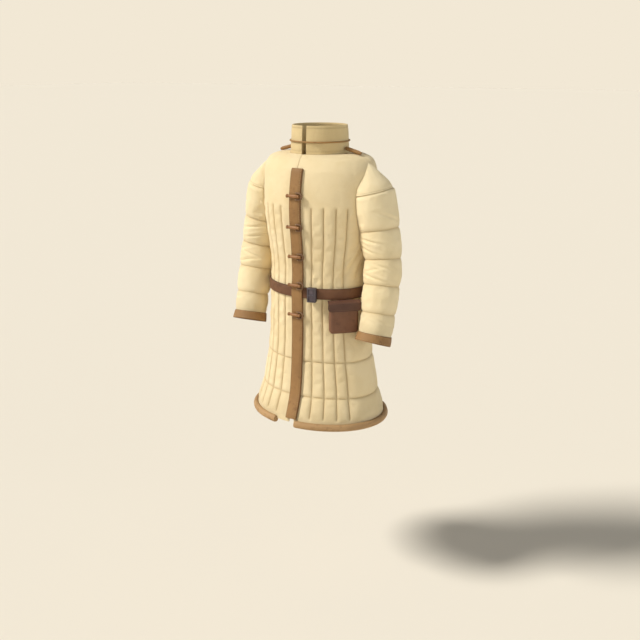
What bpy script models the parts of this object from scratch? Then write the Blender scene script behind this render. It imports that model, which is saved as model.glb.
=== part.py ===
"""Quilted gambeson (a padded arming coat) in its worn form, with its belt, buckle and pouch.

Frame: metres, +Z up. The coat faces -Y and the wearer's left is +X. The origin is the centre of the
neck opening at the foot of the collar, so heights below the neck are negative.

The body is one smooth surface read at an angle round the trunk (0 at the centre front, growing to the
wearer's left) and a place up the TORSO table. The panels are walls laid on that surface, pinched in at
the quilting, and all that lies on the body is made from the same points, moved out.
"""
from collections import namedtuple
from functools import lru_cache
from math import asin, atan2, cos, degrees, pi, radians, sin

import bmesh
import bpy
from mathutils import Matrix, Vector

# ---------------------------------------------------------------- driving sizes
GAP = 0.0003                # clear space where two pieces meet
SEAM_GAP = 0.0005           # the same at the side and shoulder seams, which curve
BODY_WALL = 0.006           # padded cloth of the panels
ARM_WALL = 0.005            # padded cloth of the sleeves and caps
SEAT_GAP = 0.0014           # clear space where a sleeve or cap meets the body
ARMHOLE_LAP = 0.003         # how far the armhole edge reaches in under the sleeve's wall

Level = namedtuple("Level", "height half_width front back")
TORSO = (
    Level(-0.9165, 0.2430, 0.1930, 0.1930),     # hem
    Level(-0.8865, 0.2370, 0.1820, 0.1825),
    Level(-0.8255, 0.2200, 0.1615, 0.1650),     # lower skirt line
    Level(-0.7665, 0.2085, 0.1530, 0.1570),
    Level(-0.7015, 0.1965, 0.1475, 0.1520),     # upper skirt line
    Level(-0.6365, 0.1895, 0.1440, 0.1480),
    Level(-0.5665, 0.1860, 0.1425, 0.1460),
    Level(-0.4965, 0.1835, 0.1430, 0.1450),
    Level(-0.4565, 0.1835, 0.1440, 0.1450),     # belt
    Level(-0.4115, 0.1805, 0.1400, 0.1440),
    Level(-0.3665, 0.1815, 0.1400, 0.1460),
    Level(-0.3165, 0.1895, 0.1430, 0.1500),     # underarm
    Level(-0.2565, 0.1985, 0.1490, 0.1560),
    Level(-0.1965, 0.2040, 0.1535, 0.1600),     # chest
    Level(-0.1365, 0.2064, 0.1525, 0.1600),
    Level(-0.0865, 0.2070, 0.1460, 0.1550),
    Level(-0.0565, 0.2055, 0.1395, 0.1490),
    Level(-0.0345, 0.1975, 0.1290, 0.1490),     # shoulder point
    Level(-0.0185, 0.1845, 0.1210, 0.1450),
    Level(-0.0110, 0.1660, 0.1130, 0.1360),
    Level(-0.0060, 0.1480, 0.1080, 0.1260),     # top of the yoke
    Level(-0.0040, 0.1240, 0.1050, 0.1130),
    Level(-0.0045, 0.0998, 0.0998, 0.0998),     # neck edge
)
LAST_STEEP_PLACE = 19       # above this row the body turns over to the neck and heights repeat

# quilting: upright channels on the fronts and back, two lines round the skirt
FRONT_CHANNELS = [17.2, 29.5, 41.8, 54.1]               # degrees from the centre front
BACK_CHANNELS = [0.0, 12.3, 24.6, 36.9]                 # degrees from the centre back
CHANNEL_HALF_WIDTH = 2.3                                # degrees
CHANNEL_DEPTH = 0.004
CHANNEL_TOP, CHANNEL_BOTTOM = -0.1765, -0.8915
CHANNEL_END = 0.004
SKIRT_LINES = [-0.7015, -0.8255]
LINE_HALF_WIDTH = 0.004
LINE_DEPTH = 0.003

# heights at which the body's mesh has a row; the armhole's lowest and highest heights are added
BODY_HEIGHTS = [
    -0.9165, -0.8915, -0.8875, -0.8295, -0.8255, -0.8215, -0.7055, -0.7015, -0.6975, -0.6365,
    -0.5665, -0.4765, -0.4365, -0.4000, -0.3600, -0.2800, -0.2265, -0.1805, -0.1765, -0.1165, -0.0700,
    -0.0185, -0.0110]
YOKE_TOP_PLACES = [20.0, 22.0]                          # rows of TORSO past the last steep place
SIDE_SEAM_UNDERARM, SIDE_SEAM_BELOW = 92.0, 104.0       # degrees
SIDE_SEAM_TURN = -0.50                                  # height by which the seam has moved back
OPENING_STARTS = -0.8265                                # the fronts part below this height
HEM_OPENING = {"left": 0.014, "right": 0.006}           # half opening at the hem on each front

# arms: the axis, shared by sleeve, cap and cuff, and the outer radius of each along it
ARM_FRAME_LOWEST = -0.592   # below this height the rings keep their slant, so the cuff is a straight band
ARM_OVAL = 0.17             # at the armhole the arm is deeper by this share from front to back
OVAL_FROM, OVAL_FULL = -0.38, -0.14
Axis = namedtuple("Axis", "height across forward")
ARM_AXIS = (
    Axis(-0.6200, 0.2570, 0.0770),
    Axis(-0.5865, 0.2596, 0.0622),
    Axis(-0.5178, 0.2612, 0.0450),
    Axis(-0.4269, 0.2588, 0.0226),
    Axis(-0.3400, 0.2540, 0.0079),
    Axis(-0.2449, 0.2350, 0.0030),
    Axis(-0.1500, 0.2180, 0.0029),
    Axis(-0.1206, 0.2110, 0.0048),      # rim of the cap
    Axis(-0.0600, 0.1985, 0.0088),
    Axis(-0.0230, 0.1840, 0.0112),
)
Girth = namedtuple("Girth", "height radius")
SLEEVE = [
    Girth(-0.6110, 0.0575), Girth(-0.5865, 0.0545), Girth(-0.5530, 0.0562), Girth(-0.5178, 0.0560),
    Girth(-0.4720, 0.0602), Girth(-0.4269, 0.0600), Girth(-0.3830, 0.0622), Girth(-0.3400, 0.0605),
    Girth(-0.2920, 0.0645), Girth(-0.2449, 0.0645), Girth(-0.1850, 0.0675), Girth(-0.1250, 0.0642),
    Girth(-0.1214, 0.0570), Girth(-0.1013, 0.0515), Girth(-0.0320, 0.0010),
]
CAP = [Girth(-0.1206, 0.0630), Girth(-0.1013, 0.0585), Girth(-0.0230, 0.0005)]
CAP_INNER = [Girth(-0.1206, 0.0580), Girth(-0.1013, 0.0538), Girth(-0.0255, 0.0005)]
CUFF_OUTER = [Girth(-0.6150, 0.0615), Girth(-0.5865, 0.0578)]
CUFF_INNER = [Girth(-0.6150, 0.0585), Girth(-0.5865, 0.0549)]
ARM_COLUMNS = [0, 34, 60, 76, 90, 99, 105, 111.5, 121, 134, 148, 180]   # degrees, 0 is outwards
SEATED_STEP = 0.0018        # rows that would pass the seat are pressed together this far apart
CAP_ROWS = [0.0, 0.45, 0.8, 1.0]        # rows of a cap above its corner, as shares of the way up

# collar, its cord and the rolled cords that run from it down the shoulder seams
COLLAR = [Girth(-0.0100, 0.0979), Girth(0.0355, 0.0964), Girth(0.0870, 0.0935)]
COLLAR_WALL = 0.005
COLLAR_SLIT = 0.0088        # half width
COLLAR_COLUMNS = 30
COLLAR_CORD_HEIGHT, COLLAR_CORD_RADIUS = 0.0350, 0.0026
SHOULDER_CORD_RADIUS = 0.0065
SHOULDER_CORD_START = (0.1015, 0.0135)      # across and height of its end at the collar
SHOULDER_CORD_END = 0.158                   # across; it lies on the shoulder seam there

# leather on the front: placket, toggles and loops, with the belt that passes under the placket
PLACKET_LEFT, PLACKET_RIGHT = 0.025, -0.0165
PLACKET_TOP, PLACKET_BOTTOM = -0.0480, -0.9050
PLACKET_INNER, PLACKET_OUTER = 0.0006, 0.0095
PLACKET_OVER_BELT = 0.0060
OVER_BELT_MARGIN, OVER_BELT_SLOPE = 0.002, 0.004
TOGGLE_COUNT, FIRST_TOGGLE, TOGGLE_PITCH = 5, -0.1345, 0.1007
TOGGLE_DRIFT = -0.0010      # each toggle is sewn on this much further across than the one above
PEG_RIGHT, PEG_RADIUS = -0.0225, 0.0062
Turned = namedtuple("Turned", "along radius")
PEG_PROFILE = [
    Turned(0.0, 0.0), Turned(0.0, 0.0040), Turned(0.0022, 0.0062), Turned(0.0062, 0.0062), Turned(0.0088, 0.0050),
    Turned(0.0220, 0.0055), Turned(0.0460, 0.0058), Turned(0.0505, 0.0046), Turned(0.0505, 0.0)]
LOOP_START, LOOP_BIGHT = 0.0106, 0.0331     # across, from the loop's cut ends to its bend
LOOP_HALF, LOOP_CORD = 0.0103, 0.0034       # from the peg to each side of the loop; the cord's radius
LOOP_GAP, LOOP_STEPS = 0.0008, 8

# belt, buckle and pouch
BELT_HEIGHT, BELT_HALF_WIDTH = -0.4590, 0.018
BELT_INNER, BELT_OUTER = 0.0012, 0.0055
BELT_LIFT = 0.0040          # the belt stands off further where it passes the pouch's hanger
BELT_LIFT_REACH = 22.0      # degrees on each side over which it comes back to the body
BUCKLE_ANGLE = 19.3
BUCKLE_DROP = 0.002
BUCKLE_SIZE = (0.031, 0.015, 0.049)
BUCKLE_EDGE, BUCKLE_RIM, BUCKLE_RECESS = 0.002, 0.003, 0.0015
POUCH_ANGLE = 52.5
POUCH_SIZE = (0.096, 0.032, 0.103)
POUCH_TOP = -0.4840
POUCH_BACK = 0.0036
POUCH_LEATHER = 0.0025
POUCH_BASE = 0.012          # from the floor of its hollow to its underside
POUCH_CORNER = 0.010
HANGER_SIZE = (0.026, 0.0020, 0.078)
HANGER_BACK, HANGER_ABOVE_BELT = 0.0010, -0.003
FLAP_WIDTH, FLAP_DROP, FLAP_LEATHER = 0.110, 0.027, 0.003
FLAP_RISE = 0.0048          # height of the flap's top where it meets the hanger
FLAP_FOLD = 0.0005          # height of its front face above the pouch's mouth

# hem binding: the two ends of its gap at the front, and its section from the hem's outer edge
HEM_GAP_LEFT, HEM_GAP_RIGHT = 5.3, -14.3    # degrees
Rim = namedtuple("Rim", "out up")
BINDING_SECTION = [
    Rim(0.0006, 0.0075), Rim(0.0090, 0.0080), Rim(0.0140, 0.0020), Rim(0.0140, -0.0080), Rim(0.0080, -0.0150),
    Rim(-0.0020, -0.0150), Rim(-0.0085, -0.0080), Rim(-0.0092, 0.0060), Rim(-0.0067, 0.0060),
    Rim(-0.0067, -0.0006), Rim(0.0006, -0.0006)]
SMOOTH_BELOW = 40           # degrees; sharper edges stay sharp in shading

LINEN = ("linen", (0.80, 0.66, 0.40), 0.9, 0.0)
COLLAR_LINEN = ("collar_linen", (0.62, 0.47, 0.26), 0.9, 0.0)
TAN_LEATHER = ("tan_leather", (0.30, 0.155, 0.065), 0.6, 0.0)
BROWN_LEATHER = ("brown_leather", (0.13, 0.062, 0.035), 0.55, 0.0)
WOOD = ("wood", (0.27, 0.125, 0.046), 0.55, 0.0)
IRON = ("iron", (0.07, 0.075, 0.10), 0.4, 0.9)


# ---------------------------------------------------------------- reading the tables
@lru_cache(maxsize=None)
def between(rows, place):
    """The row of a table at a fractional place, on a smooth curve through its rows."""
    index = min(max(int(place), 0), len(rows) - 2)
    part = place - index
    near = [rows[max(index - 1, 0)], rows[index], rows[index + 1], rows[min(index + 2, len(rows) - 1)]]
    values = []
    for p0, p1, p2, p3 in zip(*near):
        slope = p2 - p0
        curve = 2 * p0 - 5 * p1 + 4 * p2 - p3
        twist = 3 * p1 - p0 - 3 * p2 + p3
        values.append(p1 + 0.5 * part * (slope + part * (curve + part * twist)))
    return type(rows[0])(*values)


def place_at(rows, height, last=None):
    """The place at which a table that climbs reaches a height."""
    low, high = 0.0, float(len(rows) - 1 if last is None else last)
    for _ in range(40):
        middle = (low + high) / 2
        if between(rows, middle).height < height:
            low = middle
        else:
            high = middle
    return (low + high) / 2


def girth(rows, height):
    """Radius at a height, straight between the rows of a Girth table."""
    for lower, upper in zip(rows, rows[1:]):
        if height <= upper.height:
            break
    share = (height - lower.height) / (upper.height - lower.height)
    return lower.radius + share * (upper.radius - lower.radius)


# ---------------------------------------------------------------- the body's surface
def skin(angle, place):
    """Point of the smooth outer cloth, before quilting."""
    level = between(TORSO, place)
    depth = level.front if cos(angle) > 0 else level.back
    return Vector((level.half_width * sin(angle), -depth * cos(angle), level.height))


def skin_frame(angle, place):
    """Outward normal and upward direction of the smooth cloth at a point."""
    step = 0.001
    around = skin(angle + step, place) - skin(angle - step, place)
    up = skin(angle, place + step) - skin(angle, place - step)
    return around.cross(up).normalized(), up.normalized()


def notch(distance, half_width):
    """1 at the middle of a quilted line, falling to 0 at its edges."""
    return max(0.0, 1.0 - abs(distance) / half_width)


def quilting(angle, height):
    """How far the quilting pulls the cloth in."""
    turn = abs((degrees(angle) + 180.0) % 360.0 - 180.0)
    depth = 0.0
    if CHANNEL_BOTTOM < height < CHANNEL_TOP:
        for channel in FRONT_CHANNELS + [180.0 - back for back in BACK_CHANNELS]:
            depth = max(depth, CHANNEL_DEPTH * notch(turn - channel, CHANNEL_HALF_WIDTH))
    for line in SKIRT_LINES:
        depth = max(depth, LINE_DEPTH * notch(height - line, LINE_HALF_WIDTH))
    return depth


def torso(angle, place, out=0.0, quilted=False):
    """Point on the body, moved out along the cloth's normal."""
    point = skin(angle, place)
    if quilted:
        out -= quilting(angle, point.z)
    return point + skin_frame(angle, place)[0] * out


def body_place(height):
    return place_at(TORSO, height, LAST_STEEP_PLACE)


def inside_torso(point, gap):
    level = between(TORSO, body_place(point.z))
    depth = (level.front if point.y < 0 else level.back) + gap
    return (point.x / (level.half_width + gap)) ** 2 + (point.y / depth) ** 2 < 1.0


# ---------------------------------------------------------------- the arms' surface (wearer's left)
def arm_centre(height):
    row = between(ARM_AXIS, place_at(ARM_AXIS, height))
    return Vector((row.across, -row.forward, row.height))


def arm_frame(height):
    """Directions out, forward and along the arm."""
    height = max(height, ARM_FRAME_LOWEST)
    along = (arm_centre(height + 0.002) - arm_centre(height - 0.002)).normalized()
    ahead = Vector((0, -1, 0))
    ahead = (ahead - along * along.dot(ahead)).normalized()
    return along.cross(ahead), ahead, along


def oval(height):
    """How many times deeper than wide the arm is."""
    share = min(max((height - OVAL_FROM) / (OVAL_FULL - OVAL_FROM), 0.0), 1.0)
    return 1.0 + ARM_OVAL * share * share * (3 - 2 * share)


def arm(around, height, radius):
    """Point at a radius round the arm; around is 0 outwards and 90 degrees forwards."""
    out, ahead, _ = arm_frame(height)
    return arm_centre(height) + (out * cos(around) + ahead * sin(around) * oval(height)) * radius


def inside_arm(point, shrink):
    """True inside the sleeve, with its radius made smaller by shrink."""
    low, high = ARM_AXIS[0].height, ARM_AXIS[-1].height
    for _ in range(30):
        middle = (low + high) / 2
        if (point - arm_centre(middle)).dot(arm_frame(middle)[2]) > 0:
            low = middle
        else:
            high = middle
    out, ahead, _ = arm_frame(low)
    off = point - arm_centre(low)
    depth = off.dot(ahead) / oval(low)
    return off.dot(out) ** 2 + depth ** 2 < (girth(SLEEVE, low) - shrink) ** 2


def seat_height(around, rows, shrink=0.0):
    """Height at which one line up the arm meets the body."""
    clear, top = rows[0].height, rows[-1].height
    step = 0.008
    while clear + step < top:
        height = clear + step
        if inside_torso(arm(around, height, girth(rows, height) - shrink), SEAT_GAP):
            break
        clear = height
    blocked = min(clear + step, top)
    for _ in range(20):
        middle = (clear + blocked) / 2
        if inside_torso(arm(around, middle, girth(rows, middle) - shrink), SEAT_GAP):
            blocked = middle
        else:
            clear = middle
    return clear


def armhole_angle(height, towards):
    """Angle of the armhole's edge at a height, on its front (-1) or its back (1) side."""
    place = body_place(height)
    inner, outer = 0.0, 45.0
    for _ in range(24):
        middle = (inner + outer) / 2
        if inside_arm(torso(radians(90.0 + towards * middle), place), ARMHOLE_LAP):
            inner = middle
        else:
            outer = middle
    return 90.0 + towards * inner


def armhole_end(low, high):
    """Height between low and high at which the side of the body enters or leaves the sleeve."""
    low_inside = inside_arm(skin(pi / 2, body_place(low)), ARMHOLE_LAP)
    for _ in range(24):
        middle = (low + high) / 2
        if inside_arm(skin(pi / 2, body_place(middle)), ARMHOLE_LAP) == low_inside:
            low = middle
        else:
            high = middle
    return (low + high) / 2


UNDERARM = armhole_end(-0.40, -0.20)
ARMHOLE_TOP = armhole_end(-0.20, -0.035)


# ---------------------------------------------------------------- meshes and objects
def material(spec):
    name, colour, roughness, metallic = spec
    made = bpy.data.materials.get(name)
    if made is None:
        made = bpy.data.materials.new(name)
        made.use_nodes = True
        shader = made.node_tree.nodes["Principled BSDF"]
        shader.inputs["Base Color"].default_value = (*colour, 1.0)
        shader.inputs["Roughness"].default_value = roughness
        shader.inputs["Metallic"].default_value = metallic
    return made


def finish(name, bm, spec):
    """One object from a finished bmesh."""
    bmesh.ops.recalc_face_normals(bm, faces=bm.faces)
    mesh = bpy.data.meshes.new(name)
    bm.to_mesh(mesh)
    bm.free()
    mesh.shade_smooth()
    mesh.set_sharp_from_angle(angle=radians(SMOOTH_BELOW))
    mesh.materials.append(material(spec))
    made = bpy.data.objects.new(name, mesh)
    bpy.context.scene.collection.objects.link(made)
    return made


def grid(rows, columns, place_vertex):
    """A sheet of rows by columns points, welded where points meet, with each point's row and column."""
    bm = bmesh.new()
    row_layer = bm.verts.layers.int.new("row")
    column_layer = bm.verts.layers.int.new("column")
    bmesh.ops.create_grid(bm, x_segments=columns - 1, y_segments=rows - 1, size=0.5)
    for vert in bm.verts:
        vert[column_layer] = round((vert.co.x + 0.5) * (columns - 1))
        vert[row_layer] = round((vert.co.y + 0.5) * (rows - 1))
        vert.co = place_vertex(vert[row_layer], vert[column_layer])
    bmesh.ops.remove_doubles(bm, verts=bm.verts, dist=1e-6)
    return bm, row_layer, column_layer


def wall(name, rows, columns, outer, inner, spec, mirrored=False):
    """A closed wall: a sheet laid on outer(row, column), carried through to inner(row, column)."""
    bm, row_layer, column_layer = grid(rows, columns, outer)
    through = bmesh.ops.extrude_face_region(bm, geom=bm.faces[:], use_keep_orig=True)
    for vert in through["geom"]:
        if isinstance(vert, bmesh.types.BMVert):
            vert.co = inner(vert[row_layer], vert[column_layer])
    if mirrored:
        bmesh.ops.transform(bm, matrix=Matrix.Scale(-1, 4, (1, 0, 0)), verts=bm.verts)
    return finish(name, bm, spec)


def cord(name, points, radius, spec, closed=False):
    """A round cord along a chain of points."""
    curve = bpy.data.curves.new(name, "CURVE")
    curve.dimensions = "3D"
    curve.bevel_depth = radius
    curve.bevel_resolution = 2
    curve.use_fill_caps = not closed
    spline = curve.splines.new("POLY")
    spline.points.add(len(points) - 1)
    for target, point in zip(spline.points, points):
        target.co = (*point, 1.0)
    spline.use_cyclic_u = closed
    curve.materials.append(material(spec))
    made = bpy.data.objects.new(name, curve)
    bpy.context.scene.collection.objects.link(made)
    return made


# ---------------------------------------------------------------- body panels
def side_seam(height):
    """The side seam's angle: under the arm it is at the side, and lower down it has moved back."""
    share = min(max((UNDERARM - height) / (UNDERARM - SIDE_SEAM_TURN), 0.0), 1.0)
    return SIDE_SEAM_UNDERARM + (SIDE_SEAM_BELOW - SIDE_SEAM_UNDERARM) * share * share * (3 - 2 * share)


def outer_edge(height, place, towards):
    """Angle at which a panel ends on its outer side; towards is -1 for a front, 1 for the back."""
    if height < UNDERARM + 0.0001:
        angle = side_seam(height)
    elif height < ARMHOLE_TOP - 0.0001 and place <= LAST_STEEP_PLACE:
        return armhole_angle(height, towards)
    else:
        angle = 90.0
    return angle + towards * degrees(SEAM_GAP / 2 / between(TORSO, place).half_width)


def front_edge(height, place, side):
    """Angle of the front's own edge: the fronts meet at the centre and part towards the hem."""
    share = min(max((OPENING_STARTS - height) / (OPENING_STARTS - TORSO[0].height), 0.0), 1.0)
    return degrees(asin((GAP + HEM_OPENING[side] * share) / between(TORSO, place).half_width))


def body_rows():
    """Places of the body's rows, from the hem to the neck."""
    heights = sorted(BODY_HEIGHTS + [UNDERARM, ARMHOLE_TOP])
    return [body_place(height) for height in heights] + YOKE_TOP_PLACES


def channel_columns(channels):
    edges = [channel + side * CHANNEL_HALF_WIDTH for channel in channels for side in (-1, 0, 1)]
    return sorted({round(abs(edge), 3) for edge in edges})


ROWS = body_rows()
FRONT_FIXED = [8.5] + channel_columns(FRONT_CHANNELS)
BACK_FIXED = channel_columns(BACK_CHANNELS)
OUTER_SHARES = [0.33, 0.67, 1.0]


def front_angles(place, side):
    height = between(TORSO, place).height
    last = FRONT_FIXED[-1]
    reach = outer_edge(height, place, -1) - last
    return [front_edge(height, place, side)] + FRONT_FIXED + [last + share * reach for share in OUTER_SHARES]


def back_angles(place):
    height = between(TORSO, place).height
    last = BACK_FIXED[-1]
    reach = 180.0 - outer_edge(height, place, 1) - last
    half = BACK_FIXED + [last + share * reach for share in OUTER_SHARES]
    return [180.0 - angle for angle in reversed(half)] + [180.0 + angle for angle in half[1:]]


def panel(name, angles_at, sign):
    """A body panel; angles_at(place) gives its columns in degrees."""
    columns = [angles_at(place) for place in ROWS]

    def outer(row, column):
        return torso(sign * radians(columns[row][column]), ROWS[row], quilted=True)

    def inner(row, column):
        return torso(sign * radians(columns[row][column]), ROWS[row], -BODY_WALL)

    return wall(name, len(ROWS), len(columns[0]), outer, inner, LINEN)


def body():
    panel("front_left", lambda place: front_angles(place, "left"), 1)
    panel("front_right", lambda place: front_angles(place, "right"), -1)
    panel("back", back_angles, 1)


# ---------------------------------------------------------------- sleeves, caps and cuffs
def all_round(columns):
    """Columns all the way round from those of one half."""
    return columns + [360 - angle for angle in reversed(columns[:-1])]


def arm_wall(name, around, heights, outer_rows, inner_of, spec, mirrored):
    """A wall round the arm: heights(around, inner) gives the rows of one column."""
    outer_columns = [heights(angle, False) for angle in around]
    inner_columns = [heights(angle, True) for angle in around]

    def outer(row, column):
        height = outer_columns[column][row]
        return arm(radians(around[column]), height, girth(outer_rows, height))

    def inner(row, column):
        height = inner_columns[column][row]
        return arm(radians(around[column]), height, inner_of(height))

    return wall(name, len(outer_columns[0]), len(around), outer, inner, spec, mirrored)


def seated_heights(rows, angle, shrink):
    """Row heights of one line up a sleeve, ending where it meets the body."""
    end = seat_height(radians(angle), rows, shrink)
    count = len(rows)
    lower = [min(row.height, end - SEATED_STEP * (count - index)) for index, row in enumerate(rows[:-1])]
    return lower + [end]


def sleeve(side):
    def heights(angle, is_inner):
        return seated_heights(SLEEVE, angle, ARM_WALL if is_inner else 0.0)

    arm_wall("sleeve_" + side, all_round(ARM_COLUMNS), heights, SLEEVE,
             lambda height: girth(SLEEVE, height) - ARM_WALL, LINEN, side == "right")


def clear_columns(sign):
    """Columns on the front (1) or back (-1) of the arm at which the cap's rim is clear of the body."""
    rims = [(rows[0].height, rows[0].radius) for rows in (CAP, CAP_INNER)]
    return [angle for angle in ARM_COLUMNS
            if not any(inside_torso(arm(sign * radians(angle), *rim), SEAT_GAP) for rim in rims)]


def cap(side):
    around = [-angle for angle in reversed(clear_columns(-1))] + clear_columns(1)[1:]

    def heights(angle, is_inner):
        end = seat_height(radians(angle), CAP_INNER if is_inner else CAP)
        corner = min(CAP[1].height, (CAP[0].height + end) / 2)
        return [CAP[0].height] + [corner + share * (end - corner) for share in CAP_ROWS]

    arm_wall("cap_" + side, around, heights, CAP, lambda height: girth(CAP_INNER, height),
             LINEN, side == "right")


def cuff(side):
    heights = [CUFF_OUTER[0].height, CUFF_OUTER[1].height]
    arm_wall("cuff_" + side, all_round(ARM_COLUMNS), lambda angle, is_inner: heights, CUFF_OUTER,
             lambda height: girth(CUFF_INNER, height), TAN_LEATHER, side == "right")


# ---------------------------------------------------------------- neck
def on_circle(radius, angle, height):
    return Vector((radius * sin(angle), -radius * cos(angle), height))


def collar():
    slit = asin(COLLAR_SLIT / COLLAR[0].radius)
    angles = [slit + (2 * pi - 2 * slit) * step / COLLAR_COLUMNS for step in range(COLLAR_COLUMNS + 1)]

    def outer(row, column):
        return on_circle(COLLAR[row].radius, angles[column], COLLAR[row].height)

    def inner(row, column):
        return on_circle(COLLAR[row].radius - COLLAR_WALL, angles[column], COLLAR[row].height)

    wall("collar", len(COLLAR), len(angles), outer, inner, COLLAR_LINEN)


def collar_cord():
    radius = girth(COLLAR, COLLAR_CORD_HEIGHT) + COLLAR_CORD_RADIUS + 2 * GAP
    points = [on_circle(radius, 2 * pi * step / 36, COLLAR_CORD_HEIGHT) for step in range(36)]
    cord("collar_cord", points, COLLAR_CORD_RADIUS, TAN_LEATHER, closed=True)


def shoulder_place(across):
    """Place on the shoulder seam at a distance across."""
    low, high = float(LAST_STEEP_PLACE - 1), len(TORSO) - 1.0
    for _ in range(26):
        middle = (low + high) / 2
        if between(TORSO, middle).half_width > across:
            low = middle
        else:
            high = middle
    return low


def shoulder_cord(side, sign):
    """Rolled leather, stitched to the side of the collar above its foot and down to the shoulder."""
    first = Vector((SHOULDER_CORD_START[0], 0.0, SHOULDER_CORD_START[1]))
    last = torso(pi / 2, shoulder_place(SHOULDER_CORD_END), SHOULDER_CORD_RADIUS + 2 * GAP)
    points = [first.lerp(last, step / 4) for step in range(5)]
    points = [Vector((sign * point.x, point.y, point.z)) for point in points]
    cord("shoulder_cord_" + side, points, SHOULDER_CORD_RADIUS, TAN_LEATHER)


# ---------------------------------------------------------------- front closure
def front_point(across, place, out):
    """Point over the centre front at a distance across it."""
    return torso(asin(across / between(TORSO, place).half_width), place, out)


def placket():
    """One strip with a row at each row of the body; it is thinner where the belt passes under it."""
    raised = BELT_HALF_WIDTH + OVER_BELT_MARGIN
    flat = raised + OVER_BELT_SLOPE
    heights = [height for height in BODY_HEIGHTS if PLACKET_BOTTOM < height < PLACKET_TOP]
    heights = [height for height in heights if abs(height - BELT_HEIGHT) > flat]
    heights += [BELT_HEIGHT + reach for reach in (-flat, -raised, raised, flat)]
    heights = sorted(heights + [PLACKET_BOTTOM, PLACKET_TOP, UNDERARM, ARMHOLE_TOP])
    places = [body_place(height) for height in heights]
    across = [PLACKET_RIGHT, (PLACKET_LEFT + PLACKET_RIGHT) / 2, PLACKET_LEFT]

    def outer(row, column):
        return front_point(across[column], places[row], PLACKET_OUTER)

    def inner(row, column):
        over_belt = abs(heights[row] - BELT_HEIGHT) < (raised + flat) / 2
        return front_point(across[column], places[row], PLACKET_OVER_BELT if over_belt else PLACKET_INNER)

    wall("placket", len(places), len(across), outer, inner, TAN_LEATHER)


def toggle(number):
    """A turned peg lying across the placket, and the loop of cord sewn down round its end."""
    height = FIRST_TOGGLE - number * TOGGLE_PITCH
    shift = number * TOGGLE_DRIFT
    place = body_place(height)
    normal, _ = skin_frame(0.0, place)
    centre = front_point(0.0, place, PLACKET_OUTER + GAP) + normal * PEG_RADIUS
    bm = bmesh.new()
    verts = [bm.verts.new((PEG_RIGHT + shift + turned.along, 0.0, turned.radius)) for turned in PEG_PROFILE]
    edges = [bm.edges.new(pair) for pair in zip(verts, verts[1:])]
    bmesh.ops.spin(bm, geom=verts + edges, cent=(0, 0, 0), axis=(1, 0, 0), angle=2 * pi, steps=10)
    bmesh.ops.remove_doubles(bm, verts=bm.verts, dist=1e-6)
    bmesh.ops.translate(bm, verts=bm.verts, vec=centre)
    finish("toggle_%d" % (number + 1), bm, WOOD)

    bend = LOOP_BIGHT - LOOP_HALF
    turns = [pi * step / LOOP_STEPS for step in range(LOOP_STEPS + 1)]
    path = [(LOOP_START, LOOP_HALF)]
    path += [(bend + LOOP_HALF * sin(turn), LOOP_HALF * cos(turn)) for turn in turns]
    path += [(LOOP_START, -LOOP_HALF)]
    level = PLACKET_OUTER + LOOP_GAP + LOOP_CORD
    points = [front_point(across + shift, body_place(height + up), level) for across, up in path]
    cord("loop_%d" % (number + 1), points, LOOP_CORD, BROWN_LEATHER)


# ---------------------------------------------------------------- hem binding and belt
def ring_angles(place):
    """Columns of the three panels at one height, all the way round from the centre front."""
    left = front_angles(place, "left")
    right = [360.0 - angle for angle in reversed(front_angles(place, "right"))]
    return left[:-1] + back_angles(place) + right[1:]


def hem_binding():
    """A folded strip round the hem, which covers the panels' lower edges."""
    between_ends = [angle for angle in ring_angles(0.0)[1:] if angle < 360.0 + HEM_GAP_RIGHT - 1.0]
    stations = [radians(angle) for angle in [HEM_GAP_LEFT] + between_ends + [360.0 + HEM_GAP_RIGHT]]
    sides = len(BINDING_SECTION)

    def rim(row, column):
        normal, up = skin_frame(stations[row], 0.0)
        corner = BINDING_SECTION[column % sides]
        return skin(stations[row], 0.0) + normal * corner.out + up * corner.up

    bm, _, _ = grid(len(stations), sides + 1, rim)
    bmesh.ops.holes_fill(bm, edges=[edge for edge in bm.edges if edge.is_boundary])
    finish("hem_binding", bm, TAN_LEATHER)


def belt():
    places = [body_place(BELT_HEIGHT + side * BELT_HALF_WIDTH) for side in (-1, 1)]
    angles = [0.0] + ring_angles(places[0])[1:-1] + [360.0]

    def lift(angle):
        return BELT_LIFT * min(1.0, 2.0 * notch(angle - POUCH_ANGLE, BELT_LIFT_REACH))

    def outer(row, column):
        return torso(radians(angles[column]), places[row], BELT_OUTER + lift(angles[column]))

    def inner(row, column):
        return torso(radians(angles[column]), places[row], BELT_INNER + lift(angles[column]))

    wall("belt", 2, len(angles), outer, inner, BROWN_LEATHER)


def belt_seat(angle, out):
    """Frame that stands on the body at the belt: X along the belt, -Y outwards, Z up."""
    place = body_place(BELT_HEIGHT)
    normal, _ = skin_frame(radians(angle), place)
    normal.z = 0.0
    normal.normalize()
    origin = torso(radians(angle), place) + normal * out
    seat = Matrix((normal.cross(Vector((0, 0, -1))), -normal, Vector((0, 0, 1)))).transposed().to_4x4()
    seat.translation = origin
    return seat


def block(size, middle):
    """A box with its middle at a point."""
    bm = bmesh.new()
    bmesh.ops.create_cube(bm, size=1.0)
    bmesh.ops.scale(bm, vec=size, verts=bm.verts)
    bmesh.ops.translate(bm, vec=middle, verts=bm.verts)
    return bm


def round_off(bm, edges, radius, segments):
    bmesh.ops.bevel(bm, geom=edges, offset=radius, segments=segments, profile=0.5, affect="EDGES", material=-1)


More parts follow.
